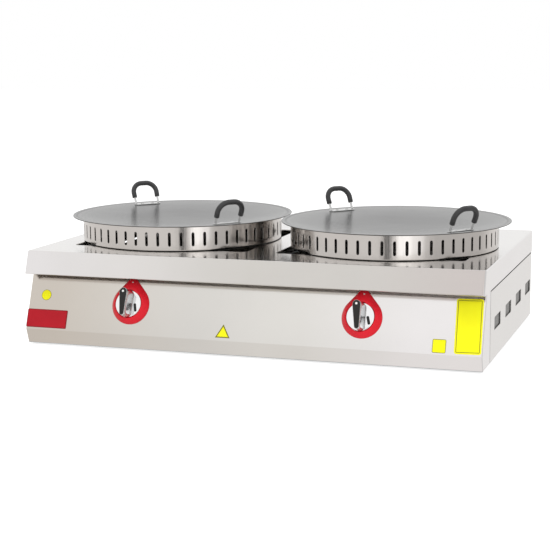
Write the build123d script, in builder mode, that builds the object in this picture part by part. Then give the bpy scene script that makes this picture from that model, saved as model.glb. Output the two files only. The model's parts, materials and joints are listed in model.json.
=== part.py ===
from build123d import *

import os
from math import atan2, cos, hypot, radians, sin, sqrt

# A double gas griddle for a worktop. Millimetres, +X to the right, +Y to the back, +Z up.
# The origin is on the surface it stands on, at the middle of the whole object's outline.

# Casing
hob_width = 1000.0
hob_depth = 600.0
hob_height = 204.0
sheet = 1.5
fascia_height = 49.0
fascia_lean = 17.0
hem_width = 12.0
casing_lift = 4.0
panel_recess = 38.0
panel_lean = 44.0
bend_height = 36.0
lip_set_back = 10.0
seam_set_back = 60.0
flange_width = 15.0
seam_gap = 2.5

# Burner openings in the hob top
opening_inner_x = 33.0
opening_outer_x = 437.0
opening_front = 102.0
opening_back = 458.0
opening_rim = 14.0
opening_corner = 10.0

# Vents
vent_count = 4
vent_length = 72.0
vent_height = 27.0
vent_pitch = 134.0
vent_first = 145.0
vent_z = 77.5
vent_corner = 2.0
baffle_gap = 7.0
baffle_margin = 8.0
rear_vent_count = 7
rear_vent_length = 60.0
rear_vent_height = 8.0
rear_vent_pitch = 84.0
rear_vent_z = 100.0
rear_vent_row_gap = 20.0

# Stiffener under the bridge between the openings
stiffener_width = 56.0
stiffener_height = 20.0
edge_gap = 1.0

# Feet and screws
foot_radius = 18.0
foot_inset_x = 70.0
foot_inset_front = 50.0
foot_inset_back = 50.0
foot_sink_radius = 6.0
foot_sink_depth = 2.6
screw_radius = 2.0
screw_head_radius = 3.8
screw_head_height = 2.2
foot_screw_length = 7.0
rear_screw_length = 7.0
rear_screw_pitch = 60.0
screw_clearance = 0.2

# Collar rings and pans
ring_x_left = -250.5
ring_x_right = 246.5
ring_y = 281.0
ring_radius = 226.0
ring_height = 51.9
ring_sheet = 1.5
ring_flange = 12.0
slot_count = 56
slot_width = 6.0
slot_height = 30.0
slot_lift = 10.7
slot_turn_left = 2.05
slot_turn_right = 1.2
pan_x = 250.2
pan_radius = 249.2
pan_depth = 12.0
pan_wall = 2.5
seat_gap = 0.3

# Pan handles
handle_turn_left = 136.0
handle_turn_right = 139.0
handle_across = 177.5
handle_foot_radius = 216.0
handle_lean = 24.0
handle_spread = 57.0
handle_top_spread = 60.0
handle_height = 53.5
handle_corner_share = 0.39
wire_radius = 2.5
sleeve_radius = 5.8
sleeve_lift = 18.0
sleeve_gap = 0.1
strap_length = 66.0
strap_width = 16.0
strap_thickness = 2.2
strap_gap = 0.35
rivet_spread = 26.0
rivet_radius = 2.4
rivet_head_radius = 4.4
rivet_head_height = 1.8
rivet_head_taper = 30.0
rivet_gap = 0.1

# Knobs, measured along the leaning panel from the fascia's lower edge
knob_x_left = -257.3
knob_x_right = 250.5
knob_turn_left = 2.4
knob_turn_right = 5.3
knob_drop = 62.0
bezel_radius = 42.3
bezel_tip_radius = 13.5
bezel_tip_rise = 43.5
bezel_rim = 1.5
bezel_height = 15.0
bezel_hole_radius = 30.0
bezel_lip = 1.6
bezel_crown_radius = 26.0
bezel_crown_rise = 7.0
index_radius = 1.8
index_rise = 49.0
index_depth = 0.6
dial_gap = 0.8
dial_back = 6.0
dial_face = 15.0
dial_edge_round = 2.0
grip_top_radius = 8.7
grip_top_rise = 20.5
grip_foot_radius = 5.2
grip_foot_drop = 24.0
grip_face = 45.0
grip_flare = 4.5
insert_inset = 0.8
insert_thickness = 3.0
insert_proud = 1.0
insert_round = 0.5
pointer_radius = 2.2
pointer_depth = 0.6

# Valves, stems and the gas rail
stem_radius = 4.0
stem_flat = 3.0
stem_socket = 7.0
stem_reach = 30.0
stem_hole_radius = 8.0
fit_gap = 0.05
plug_radius = 8.0
plug_length = 30.0
plug_face = 12.3
barrel_radius = 14.0
barrel_length = 38.0
bonnet_thickness = 6.0
bonnet_flats = 30.0
bonnet_hole_radius = 4.6
barrel_face = 12.0
rail_radius = 10.0
rail_bore = 8.0
rail_drop = 24.0
rail_set_back = 34.0
rail_gap = 0.1
rail_left_end = -312.0
rail_cap = 4.0
rail_bend = 45.0
supply_x = 430.0
saddle_length = 32.0
saddle_depth = 30.0
saddle_rise = 10.0
clamp_drop = 14.0
clamp_screw_spread = 25.0
clamp_screw_radius = 1.7
clamp_screw_head_radius = 3.2
clamp_screw_head_height = 2.4
clamp_screw_grip = 9.0
rail_bracket_x = 120.0
rail_bracket_width = 30.0
rail_bracket_sheet = 2.0
rail_bracket_foot = 22.0
rail_bracket_rise = 14.0

# Inlet at the back
inlet_radius = 10.45
inlet_shank_radius = 10.4
inlet_relief_radius = 9.5
inlet_relief_length = 2.0
inlet_thread_length = 12.0
inlet_bore = 7.0
inlet_flats = 30.0
inlet_hex_length = 20.0
inlet_socket = 8.0
locknut_flats = 32.0
locknut_thickness = 8.0
inlet_hole_gap = 0.6

# Burners
burner_radius = 112.0
burner_inner_radius = 82.0
burner_height = 30.0
burner_top = 168.0
burner_round = 6.0
burner_wall = 4.0
port_radius = 1.5
port_count = 40
port_row_offset = 6.0
port_depth = 5.0
crossbar_width = 34.0
neck_radius = 17.5
neck_reach = 34.0
mixing_z = 153.0
tube_wall = 1.5
tube_outlet_radius = 14.0
tube_throat_radius = 9.5
tube_mouth_radius = 18.0
tube_mouth = 70.0
tube_throat = 92.0
tube_insert = 20.0
injector_flats = 16.0
injector_length = 13.0
injector_tip_radius = 3.0
injector_tip_length = 5.0
outlet_radius = 5.0
outlet_bore = 3.5
outlet_bend = 14.0
boss_radius = 7.5
boss_top = 110.0
stand_spread = 300.0
stand_width = 30.0
stand_sheet = 3.0
stand_foot = 20.0
tray_width = 286.0
tray_depth = 320.0
tray_height = 15.0
tray_sheet = 1.0

# Marks on the front panel: middle x, drop of the middle along the panel, width, height
mark_thickness = 0.4
badge_x, badge_drop, badge_width, badge_height = -450.4, 102.5, 95.2, 40.0
badge_thickness = 1.2
badge_corner = 2.5
round_x, round_drop, round_radius = -458.6, 50.8, 11.6
triangle_x, triangle_drop, triangle_side = -43.0, 111.0, 32.5
square_x, square_drop, square_side = 411.8, 109.6, 27.5
tall_x, tall_drop, tall_width, tall_height = 467.9, 67.6, 54.0, 110.5
tall_turn = 1.2
label_corner = 2.0

SIDES = (("left", -1), ("right", 1))
KNOB_XS = {"left": knob_x_left, "right": knob_x_right}
KNOB_TURNS = {"left": knob_turn_left, "right": knob_turn_right}
RING_XS = {"left": ring_x_left, "right": ring_x_right}
SLOT_TURNS = {"left": slot_turn_left, "right": slot_turn_right}
PAN_XS = {"left": -pan_x, "right": pan_x}
HANDLE_TURNS = {"left": handle_turn_left, "right": handle_turn_right}
os.makedirs("parts", exist_ok=True)


def save(builder, name):
    builder.part.label = name
    export_step(builder.part, f"parts/{name}.step")


# Lean of the front panel: its face runs down and forward from the fascia's lower edge.
skirt_z = hob_height - fascia_height
panel_run = hypot(panel_lean, skirt_z - bend_height)
lean_sin = panel_lean / panel_run
lean_cos = (skirt_z - bend_height) / panel_run

# The lowest, foremost point of the grip sets how far the knobs stand out in front of the hob's edge.
panel_top = panel_recess - fascia_lean
least_turn = radians(min(knob_turn_left, knob_turn_right))
grip_low = grip_foot_drop * cos(least_turn) + grip_foot_radius - insert_inset - insert_round
grip_out = grip_face + insert_proud - insert_round
knob_back = panel_top - knob_drop * lean_sin
knob_reach = grip_out * lean_cos + grip_low * lean_sin + insert_round - knob_back

# The outline of the whole object is centred on the origin, front to back.
inlet_reach = locknut_thickness - sheet + inlet_relief_length + inlet_thread_length
front_y = (knob_reach - hob_depth - inlet_reach) / 2
back_y = front_y + hob_depth
half_width = hob_width / 2
under_hob = hob_height - sheet
casing_half = half_width - sheet
inner_half = casing_half - sheet
skirt_inner_y = back_y - sheet
rear_inner_y = skirt_inner_y - sheet
seam_y = front_y + seam_set_back
floor_z = casing_lift + sheet
flange_top = floor_z + sheet
panel_top_y = front_y + panel_top
bend_y = panel_top_y - panel_lean
lip_y = bend_y + lip_set_back
panel_head_y = panel_top_y + (under_hob - skirt_z) * lean_sin / lean_cos
bend_radius = 2 * sheet
ring_centre_y = front_y + ring_y

# Hob top: a folded tray, upside down, whose front wall leans forward.
hob_outline = [
    (front_y, hob_height),
    (back_y, hob_height),
    (back_y, skirt_z),
    (front_y - fascia_lean, skirt_z),
]
fascia_run = hypot(fascia_lean, fascia_height)
fascia_slice = sheet * fascia_run / fascia_height
fascia_step = fascia_lean / fascia_height
inner_front_top = front_y - sheet * fascia_step + fascia_slice
inner_front_low = front_y - fascia_lean + fascia_slice
hob_hollow = [
    (inner_front_top, under_hob),
    (skirt_inner_y, under_hob),
    (skirt_inner_y, skirt_z),
    (inner_front_low, skirt_z),
]
opening_x = (opening_inner_x + opening_outer_x) / 2
opening_width = opening_outer_x - opening_inner_x
opening_depth = opening_back - opening_front
opening_y = front_y + (opening_front + opening_back) / 2
openings = [(-opening_x, opening_y), (opening_x, opening_y)]

with BuildPart() as hob_top:
    with BuildSketch(Plane.YZ.offset(-half_width)):
        with BuildLine():
            Polyline(*hob_outline, close=True)
        make_face()
    extrude(amount=hob_width)
    open_side = hob_top.faces().sort_by(Axis.Z)[0]
    fillet(hob_top.edges() - open_side.edges(), bend_radius)
    with BuildSketch(Plane.YZ.offset(-casing_half)):
        with BuildLine():
            Polyline(*hob_hollow, close=True)
        make_face()
    extrude(amount=2 * casing_half, mode=Mode.SUBTRACT)
    with BuildSketch(Plane.XY.offset(skirt_z)):
        with Locations((0, inner_front_low + (hem_width - fascia_slice) / 2)):
            Rectangle(2 * casing_half, hem_width - fascia_slice)
    extrude(amount=sheet)
    with BuildSketch(Plane.XY.offset(under_hob)):
        with Locations(*openings):
            RectangleRounded(opening_width + 2 * sheet, opening_depth + 2 * sheet, opening_corner + sheet)
    extrude(amount=-opening_rim)
    with BuildSketch(Plane.XY.offset(hob_height)):
        with Locations(*openings):
            RectangleRounded(opening_width, opening_depth, opening_corner)
    extrude(amount=-(opening_rim + sheet), mode=Mode.SUBTRACT)
save(hob_top, "hob_top")

# Front panel: leaning face, lip below the bend, and flanges at the top, bottom and both sides.
panel_outline = [
    (panel_head_y, under_hob),
    (seam_y, under_hob),
    (seam_y, floor_z),
    (lip_y, floor_z),
    (bend_y, bend_height),
]
foot_x = casing_half - foot_inset_x
front_feet = [(-foot_x, lip_y + foot_inset_front), (foot_x, lip_y + foot_inset_front)]
back_feet = [(-foot_x, rear_inner_y - foot_inset_back), (foot_x, rear_inner_y - foot_inset_back)]
foot_spots = front_feet + back_feet


def knob_plane(side, turn=0.0):
    """The panel's face at a knob: local x to the right, y up the face, z out of it, turned about z."""
    origin = (KNOB_XS[side], front_y + knob_back, skirt_z - knob_drop * lean_cos)
    rise = sin(radians(turn))
    along = (cos(radians(turn)), rise * lean_sin, rise * lean_cos)
    return Plane(origin=origin, x_dir=along, z_dir=(0, -lean_cos, lean_sin))


with BuildPart() as front_panel:
    with BuildSketch(Plane.YZ.offset(-casing_half)):
        with BuildLine():
            Polyline(*panel_outline, close=True)
        make_face()
    extrude(amount=2 * casing_half)
    back_edges = front_panel.faces().sort_by(Axis.Y)[-1].edges()
    top_edges = front_panel.faces().sort_by(Axis.Z)[-1].edges()
    low_edges = front_panel.faces().sort_by(Axis.Z)[0].edges()
    fillet(front_panel.edges() - back_edges - top_edges - low_edges, bend_radius)
    with BuildSketch(Plane.YZ.offset(-inner_half)):
        with BuildLine():
            Polyline(*panel_outline, close=True)
        make_face()
        offset(amount=-sheet, kind=Kind.INTERSECTION, mode=Mode.REPLACE)
        with Locations((seam_y - flange_width / 2, (under_hob + floor_z) / 2)):
            Rectangle(flange_width, under_hob - floor_z - 2 * sheet)
    extrude(amount=2 * inner_half, mode=Mode.SUBTRACT)
    with BuildSketch(Plane.XY.offset(floor_z)):
        with Locations(*front_feet):
            Circle(screw_radius + screw_clearance)
    extrude(amount=sheet, mode=Mode.SUBTRACT)
    with BuildSketch(knob_plane("left"), knob_plane("right")):
        Circle(stem_hole_radius)
    extrude(amount=-2 * sheet, mode=Mode.SUBTRACT)
save(front_panel, "front_panel")

# Side panels: trays open to the inside, behind the front panel's side flanges. A baffle inside the
# vents is closed along its top and open at its foot.
side_front = seam_y + seam_gap
side_length = rear_inner_y - side_front
side_middle = (rear_inner_y + side_front) / 2
wall_height = under_hob - floor_z
wall_middle = (under_hob + floor_z) / 2
screw_xs = casing_half - flange_width / 2
rear_screw_zs = (wall_middle - rear_screw_pitch, wall_middle)
vent_ys = [front_y + vent_first + vent_pitch * n for n in range(vent_count)]
baffle_length = vent_pitch * (vent_count - 1) + vent_length + 2 * baffle_margin
baffle_height = vent_height + 2 * baffle_margin
baffle_spot = ((vent_ys[0] + vent_ys[-1]) / 2, vent_z)
for side, sign in SIDES:
    outward = Plane(origin=(sign * casing_half, 0, 0), x_dir=(0, 1, 0), z_dir=(1, 0, 0))
    with BuildPart() as side_panel:
        with BuildSketch(outward):
            with Locations((side_middle, wall_middle)):
                Rectangle(side_length, wall_height)
        extrude(amount=-sign * flange_width)
        with BuildSketch(outward.offset(-sign * sheet)):
            with Locations((side_middle - sheet, wall_middle)):
                Rectangle(side_length, wall_height - 2 * sheet)
        extrude(amount=-sign * flange_width, mode=Mode.SUBTRACT)
        with BuildSketch(outward.offset(-sign * sheet)):
            with Locations(baffle_spot):
                Rectangle(baffle_length, baffle_height)
        extrude(amount=-sign * (baffle_gap + sheet))
        with BuildSketch(outward.offset(-sign * sheet)):
            with Locations((baffle_spot[0], baffle_spot[1] - sheet)):
                Rectangle(baffle_length, baffle_height)
        extrude(amount=-sign * baffle_gap, mode=Mode.SUBTRACT)
        with BuildSketch(outward):
            with Locations(*[(y, vent_z) for y in vent_ys]):
                RectangleRounded(vent_length, vent_height, vent_corner)
        extrude(amount=-sign * sheet, mode=Mode.SUBTRACT)
        with BuildSketch(Plane.XZ.offset(-rear_inner_y)):
            with Locations(*[(sign * screw_xs, z) for z in rear_screw_zs]):
                Circle(screw_radius + screw_clearance)
        extrude(amount=2 * sheet, mode=Mode.SUBTRACT)
    save(side_panel, f"side_panel_{side}")

# Rear panel with two rows of vents, the inlet hole and a bottom flange.
rail_y = front_y + knob_back - rail_drop * lean_sin + rail_set_back * lean_cos
rail_z = skirt_z - knob_drop * lean_cos - rail_drop * lean_cos - rail_set_back * lean_sin
rear_screw_spots = [(x, z) for x in (-screw_xs, screw_xs) for z in rear_screw_zs]
with BuildPart() as rear_panel:
    with BuildSketch(Plane.XZ.offset(-rear_inner_y)):
        with Locations((0, wall_middle)):
            Rectangle(2 * casing_half, wall_height)
        with Locations((0, rear_vent_z)):
            with GridLocations(rear_vent_pitch, rear_vent_row_gap, rear_vent_count, 2):
                SlotOverall(rear_vent_length, rear_vent_height, mode=Mode.SUBTRACT)
        with Locations((supply_x, rail_z)):
            Circle(inlet_radius + inlet_hole_gap, mode=Mode.SUBTRACT)
        with Locations(*rear_screw_spots):
            Circle(screw_radius + screw_clearance, mode=Mode.SUBTRACT)
    extrude(amount=-sheet)
    with BuildSketch(Plane.XY.offset(floor_z)):
        with Locations((0, rear_inner_y - flange_width / 2)):
            Rectangle(2 * (casing_half - flange_width - seam_gap), flange_width)
    extrude(amount=sheet)
save(rear_panel, "rear_panel")

# Base pan: a flat plate under the bottom flanges of the four panels.
base_front = lip_y + edge_gap
base_back = skirt_inner_y - edge_gap
with BuildPart() as base_pan:
    with BuildSketch(Plane.XY.offset(casing_lift)):
        with Locations((0, (base_front + base_back) / 2)):
            Rectangle(2 * (casing_half - edge_gap), base_back - base_front)
        with Locations(*foot_spots):
            Circle(screw_radius + screw_clearance, mode=Mode.SUBTRACT)
    extrude(amount=sheet)
save(base_pan, "base_pan")

# Stiffener: a channel under the bridge between the two openings.
channel_front = seam_y + edge_gap
channel_back = rear_inner_y - edge_gap
with BuildPart() as hob_stiffener:
    with BuildSketch(Plane.XZ.offset(-channel_back)):
        with Locations((0, under_hob - stiffener_height / 2)):
            Rectangle(stiffener_width, stiffener_height)
        with Locations((0, under_hob - stiffener_height / 2 - sheet)):
            Rectangle(stiffener_width - 2 * sheet, stiffener_height, mode=Mode.SUBTRACT)
    extrude(amount=channel_back - channel_front)
save(hob_stiffener, "hob_stiffener")

# Rubber feet under the base pan, each held by one screw from below.
with BuildPart() as feet:
    with BuildSketch(Plane.XY):
        with Locations(*foot_spots):
            Circle(foot_radius)
            Circle(foot_sink_radius, mode=Mode.SUBTRACT)
    extrude(amount=foot_sink_depth)
    with BuildSketch(Plane.XY.offset(foot_sink_depth)):
        with Locations(*foot_spots):
            Circle(foot_radius)
            Circle(screw_radius + screw_clearance, mode=Mode.SUBTRACT)
    extrude(amount=casing_lift - foot_sink_depth)
save(feet, "rubber_feet")


def screws(planes, length, radius, head_radius, head_height):
    """Round-headed screws: each plane lies under a head, with the shank going back from it."""
    with BuildPart() as group:
        for plane in planes:
            with BuildSketch(plane):
                Circle(radius)
            extrude(amount=-length)
            with BuildSketch(plane):
                Circle(head_radius)
            extrude(amount=head_height)
    return group


foot_screw_planes = [Plane(origin=(x, y, foot_sink_depth), z_dir=(0, 0, -1)) for x, y in foot_spots]
foot_screws = screws(foot_screw_planes, foot_screw_length, screw_radius, screw_head_radius, screw_head_height)
save(foot_screws, "foot_screws")

rear_screw_planes = [Plane(origin=(x, skirt_inner_y, z), z_dir=(0, 1, 0)) for x, z in rear_screw_spots]
rear_screws = screws(rear_screw_planes, rear_screw_length, screw_radius, screw_head_radius, screw_head_height)
save(rear_screws, "rear_screws")

# Gas rail: one pipe, closed at its left end, that turns to the back and runs to the inlet.
inlet_hex_front = rear_inner_y - inlet_hex_length
rail_end_y = inlet_hex_front + inlet_socket - seat_gap
with BuildPart() as gas_rail:
    with BuildLine():
        first = Line((rail_left_end, rail_y, rail_z), (supply_x - rail_bend, rail_y, rail_z))
        turn = TangentArc(first @ 1, (supply_x, rail_y + rail_bend, rail_z), tangent=first % 1)
        Line(turn @ 1, (supply_x, rail_end_y, rail_z))
    with BuildSketch(Plane(origin=(rail_left_end, rail_y, rail_z), z_dir=(1, 0, 0))):
        Circle(rail_radius)
        Circle(rail_bore, mode=Mode.SUBTRACT)
    sweep()
    with BuildSketch(Plane(origin=(rail_left_end, rail_y, rail_z), z_dir=(1, 0, 0))):
        Circle(rail_radius)
    extrude(amount=-rail_cap)
save(gas_rail, "gas_rail")

# Two brackets stand on the front panel's bottom flange and carry the rail.
with BuildPart() as rail_brackets:
    for sign in (-1, 1):
        with BuildSketch(Plane.YZ.offset(sign * rail_bracket_x)):
            with Locations((rail_y, (flange_top + rail_z + rail_bracket_rise) / 2)):
                Rectangle(rail_bracket_width, rail_z + rail_bracket_rise - flange_top)
            with Locations((rail_y, rail_z)):
                Circle(rail_radius + rail_gap, mode=Mode.SUBTRACT)
        extrude(amount=rail_bracket_sheet)
        with BuildSketch(Plane.XY.offset(flange_top)):
            with Locations((sign * rail_bracket_x + rail_bracket_foot / 2, rail_y)):
                Rectangle(rail_bracket_foot, rail_bracket_width)
        extrude(amount=rail_bracket_sheet)
save(rail_brackets, "rail_brackets")

# Inlet at the back: a hexagon inside the rear panel, then a shank with a lock nut, a relief and the thread.
inlet_tip_y = back_y + inlet_reach
thread_foot_y = inlet_tip_y - inlet_thread_length


def back_plane(y):
    return Plane(origin=(supply_x, y, rail_z), x_dir=(1, 0, 0), z_dir=(0, 1, 0))


with BuildPart() as gas_inlet:
    with BuildSketch(back_plane(inlet_hex_front)):
        RegularPolygon(inlet_flats / 2, 6, major_radius=False)
    extrude(amount=inlet_hex_length)
    with BuildSketch(back_plane(rear_inner_y)):
        Circle(inlet_shank_radius)
    extrude(amount=thread_foot_y - inlet_relief_length - rear_inner_y)
    with BuildSketch(back_plane(thread_foot_y - inlet_relief_length)):
        Circle(inlet_relief_radius)
    extrude(amount=inlet_relief_length)
    with BuildSketch(back_plane(thread_foot_y)):
        Circle(inlet_radius)
    extrude(amount=inlet_thread_length)
    with BuildSketch(back_plane(inlet_hex_front)):
        Circle(rail_radius + rail_gap)
    extrude(amount=inlet_socket, mode=Mode.SUBTRACT)
    with BuildSketch(back_plane(inlet_hex_front)):
        Circle(inlet_bore)
    extrude(amount=inlet_tip_y - inlet_hex_front, mode=Mode.SUBTRACT)
save(gas_inlet, "gas_inlet")

with BuildPart() as inlet_locknut:
    with BuildSketch(back_plane(skirt_inner_y)):
        RegularPolygon(locknut_flats / 2, 6, major_radius=False)
        Circle(inlet_radius + rail_gap, mode=Mode.SUBTRACT)
    extrude(amount=locknut_thickness)
save(inlet_locknut, "inlet_locknut")

# Valves, stems, knobs and bezels, on the two knob planes.
outlet_y = front_y + knob_back + rail_set_back * lean_cos
barrel_mid_z = skirt_z - knob_drop * lean_cos - rail_set_back * lean_sin
injector_front = outlet_y + outlet_bend + outlet_radius
clamp_screw_planes = []
clamp_screw_spots = (rail_set_back - clamp_screw_spread / 2, rail_set_back + clamp_screw_spread / 2)
for side, knob_x in KNOB_XS.items():
    ring_x = RING_XS[side]
    face = knob_plane(side)
    turned = knob_plane(side, KNOB_TURNS[side])
    across = Plane(origin=face.origin, x_dir=face.y_dir, z_dir=face.x_dir)
    saddle = Plane(origin=face.origin, x_dir=face.x_dir, z_dir=face.y_dir).offset(-rail_drop)

    with BuildPart() as valve_body:
        with BuildSketch(face.offset(-barrel_face)):
            Circle(barrel_radius)
        extrude(amount=-barrel_length)
        with BuildSketch(across.offset(-saddle_length / 2)):
            with Locations((-rail_drop + saddle_rise / 2, -rail_set_back)):
                Rectangle(saddle_rise, saddle_depth)
            with Locations((-rail_drop / 2, -rail_set_back)):
                Rectangle(rail_drop, barrel_radius)
        extrude(amount=saddle_length)
        with BuildSketch(Plane(origin=(knob_x, outlet_y, barrel_mid_z))):
            Circle(boss_radius)
        extrude(amount=boss_top - barrel_mid_z)
        with BuildSketch(across.offset(-saddle_length)):
            with Locations((-rail_drop, -rail_set_back)):
                Circle(rail_radius + rail_gap)
        extrude(amount=2 * saddle_length, mode=Mode.SUBTRACT)
        with BuildSketch(face.offset(-barrel_face)):
            Circle(plug_radius + fit_gap)
        extrude(amount=-(plug_length + seat_gap + edge_gap), mode=Mode.SUBTRACT)
        with BuildSketch(saddle):
            with Locations(*[(0, back) for back in clamp_screw_spots]):
                Circle(clamp_screw_radius + screw_clearance)
        extrude(amount=clamp_screw_grip, mode=Mode.SUBTRACT)
    save(valve_body, f"valve_body_{side}")

    with BuildPart() as valve_clamp:
        with BuildSketch(across.offset(-saddle_length / 2)):
            with Locations((-rail_drop - clamp_drop / 2, -rail_set_back)):
                Rectangle(clamp_drop, saddle_depth)
            with Locations((-rail_drop, -rail_set_back)):
                Circle(rail_radius + rail_gap, mode=Mode.SUBTRACT)
        extrude(amount=saddle_length)
        with BuildSketch(saddle):
            with Locations(*[(0, back) for back in clamp_screw_spots]):
                Circle(clamp_screw_radius + screw_clearance)
        extrude(amount=-clamp_drop, mode=Mode.SUBTRACT)
    save(valve_clamp, f"valve_clamp_{side}")
    for back in clamp_screw_spots:
        foot = face.from_local_coords((0, -rail_drop - clamp_drop, -back))
        clamp_screw_planes.append(Plane(origin=foot, z_dir=-face.y_dir))

    with BuildPart() as valve_bonnet:
        with BuildSketch(face.offset(-barrel_face)):
            RegularPolygon(bonnet_flats / 2, 6, major_radius=False)
            Circle(bonnet_hole_radius, mode=Mode.SUBTRACT)
        extrude(amount=bonnet_thickness)
    save(valve_bonnet, f"valve_bonnet_{side}")

    with BuildPart() as valve_plug:
        with BuildSketch(turned.offset(-plug_face)):
            Circle(plug_radius)
            with BuildSketch(mode=Mode.SUBTRACT):
                Circle(stem_radius + fit_gap)
                with Locations((0, stem_flat + fit_gap + stem_radius)):
                    Rectangle(4 * stem_radius, 2 * stem_radius, mode=Mode.SUBTRACT)
        extrude(amount=-plug_length)
    save(valve_plug, f"valve_plug_{side}")

    with BuildPart() as valve_stem:
        with BuildSketch(turned.offset(dial_back + stem_socket - seat_gap)):
            Circle(stem_radius)
            with Locations((0, stem_flat + stem_radius)):
                Rectangle(4 * stem_radius, 2 * stem_radius, mode=Mode.SUBTRACT)
        extrude(amount=-(dial_back + stem_socket - seat_gap + stem_reach))
    save(valve_stem, f"valve_stem_{side}")

    with BuildPart() as bezel:
        with BuildSketch(face):
            Circle(bezel_radius)
            with Locations((0, bezel_tip_rise)):
                Circle(bezel_tip_radius)
            make_hull()
        extrude(amount=bezel_rim)
        with BuildSketch(face.offset(bezel_rim)):
            Circle(bezel_radius)
            with Locations((0, bezel_tip_rise)):
                Circle(bezel_tip_radius)
            make_hull()
        with BuildSketch(face.offset(bezel_height)):
            Circle(bezel_hole_radius + bezel_lip)
            with Locations((0, bezel_crown_rise)):
                Circle(bezel_crown_radius)
            make_hull()
        loft()
        with BuildSketch(face):
            Circle(bezel_hole_radius)
        extrude(amount=bezel_height, mode=Mode.SUBTRACT)
        with BuildSketch(face.offset(bezel_height)):
            with Locations((0, index_rise)):
                Circle(index_radius)
        extrude(amount=-(bezel_height - bezel_rim - index_depth), mode=Mode.SUBTRACT)
    save(bezel, f"bezel_{side}")

    with BuildPart() as knob_dial:
        with BuildSketch(turned.offset(dial_back)):
            Circle(bezel_hole_radius - dial_gap)
        extrude(amount=dial_face - dial_back)
        fillet(knob_dial.faces().sort_by(Axis((0, 0, 0), face.z_dir))[-1].edges(), dial_edge_round)
        with BuildSketch(turned.offset(dial_face)):
            with Locations((0, grip_top_rise - grip_flare)):
                Circle(grip_top_radius + grip_flare)
            with Locations((0, -grip_foot_drop + grip_flare)):
                Circle(grip_foot_radius + grip_flare)
            make_hull()
        with BuildSketch(turned.offset(grip_face)):
            with Locations((0, grip_top_rise)):
                Circle(grip_top_radius)
            with Locations((0, -grip_foot_drop)):
                Circle(grip_foot_radius)
            make_hull()
        loft()
        with BuildSketch(turned.offset(grip_face)):
            with Locations((0, grip_top_rise)):
                Circle(grip_top_radius - insert_inset)
            with Locations((0, -grip_foot_drop)):
                Circle(grip_foot_radius - insert_inset)
            make_hull()
        extrude(amount=-(insert_thickness - insert_proud), mode=Mode.SUBTRACT)
        with BuildSketch(turned.offset(dial_back)):
            Circle(stem_radius + fit_gap)
            with Locations((0, stem_flat + fit_gap + stem_radius)):
                Rectangle(4 * stem_radius, 2 * stem_radius, mode=Mode.SUBTRACT)
        extrude(amount=stem_socket, mode=Mode.SUBTRACT)
    save(knob_dial, f"knob_dial_{side}")

    with BuildPart() as knob_insert:
        with BuildSketch(turned.offset(grip_face + insert_proud)):
            with Locations((0, grip_top_rise)):
                Circle(grip_top_radius - insert_inset)
            with Locations((0, -grip_foot_drop)):
                Circle(grip_foot_radius - insert_inset)
            make_hull()
        extrude(amount=-insert_thickness)
        fillet(knob_insert.faces().sort_by(Axis((0, 0, 0), face.z_dir))[-1].edges(), insert_round)
        with BuildSketch(turned.offset(grip_face + insert_proud)):
            with Locations((0, grip_top_rise)):
                Circle(pointer_radius)
        extrude(amount=-pointer_depth, mode=Mode.SUBTRACT)
    save(knob_insert, f"knob_insert_{side}")

    with BuildPart() as outlet_pipe:
        with BuildLine():
            valve_end = (knob_x, outlet_y, boss_top)
            rise = Line(valve_end, (knob_x, outlet_y, mixing_z - outlet_bend))
            elbow = TangentArc(rise @ 1, (knob_x, outlet_y + outlet_bend, mixing_z), tangent=rise % 1)
            Line(elbow @ 1, (knob_x, injector_front, mixing_z))
        with BuildSketch(Plane(origin=(knob_x, outlet_y, boss_top))):
            Circle(outlet_radius)
            Circle(outlet_bore, mode=Mode.SUBTRACT)
        sweep()
    save(outlet_pipe, f"outlet_pipe_{side}")

    def tube_plane(y):
        return Plane(origin=(knob_x, y, mixing_z), x_dir=(1, 0, 0), z_dir=(0, 1, 0))

    with BuildPart() as injector:
        with BuildSketch(tube_plane(injector_front)):
            RegularPolygon(injector_flats / 2, 6, major_radius=False)
        extrude(amount=injector_length)
        with BuildSketch(tube_plane(injector_front + injector_length)):
            Circle(injector_tip_radius)
        extrude(amount=injector_tip_length)
    save(injector, f"injector_{side}")

    neck_front = ring_centre_y - burner_radius - neck_reach
    with BuildPart() as mixing_tube:
        with BuildSketch(Plane(origin=(knob_x, 0, mixing_z), x_dir=(1, 0, 0), z_dir=(0, 0, 1))):
            with BuildLine():
                Polyline(
                    (tube_mouth_radius, front_y + tube_mouth),
                    (tube_throat_radius, front_y + tube_throat),
                    (tube_outlet_radius, neck_front + tube_insert),
                    (tube_outlet_radius - tube_wall, neck_front + tube_insert),
                    (tube_throat_radius - tube_wall, front_y + tube_throat),
                    (tube_mouth_radius - tube_wall, front_y + tube_mouth),
                    close=True,
                )
            make_face()
        revolve(axis=Axis((knob_x, 0, mixing_z), (0, 1, 0)))
    save(mixing_tube, f"mixing_tube_{side}")

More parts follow.
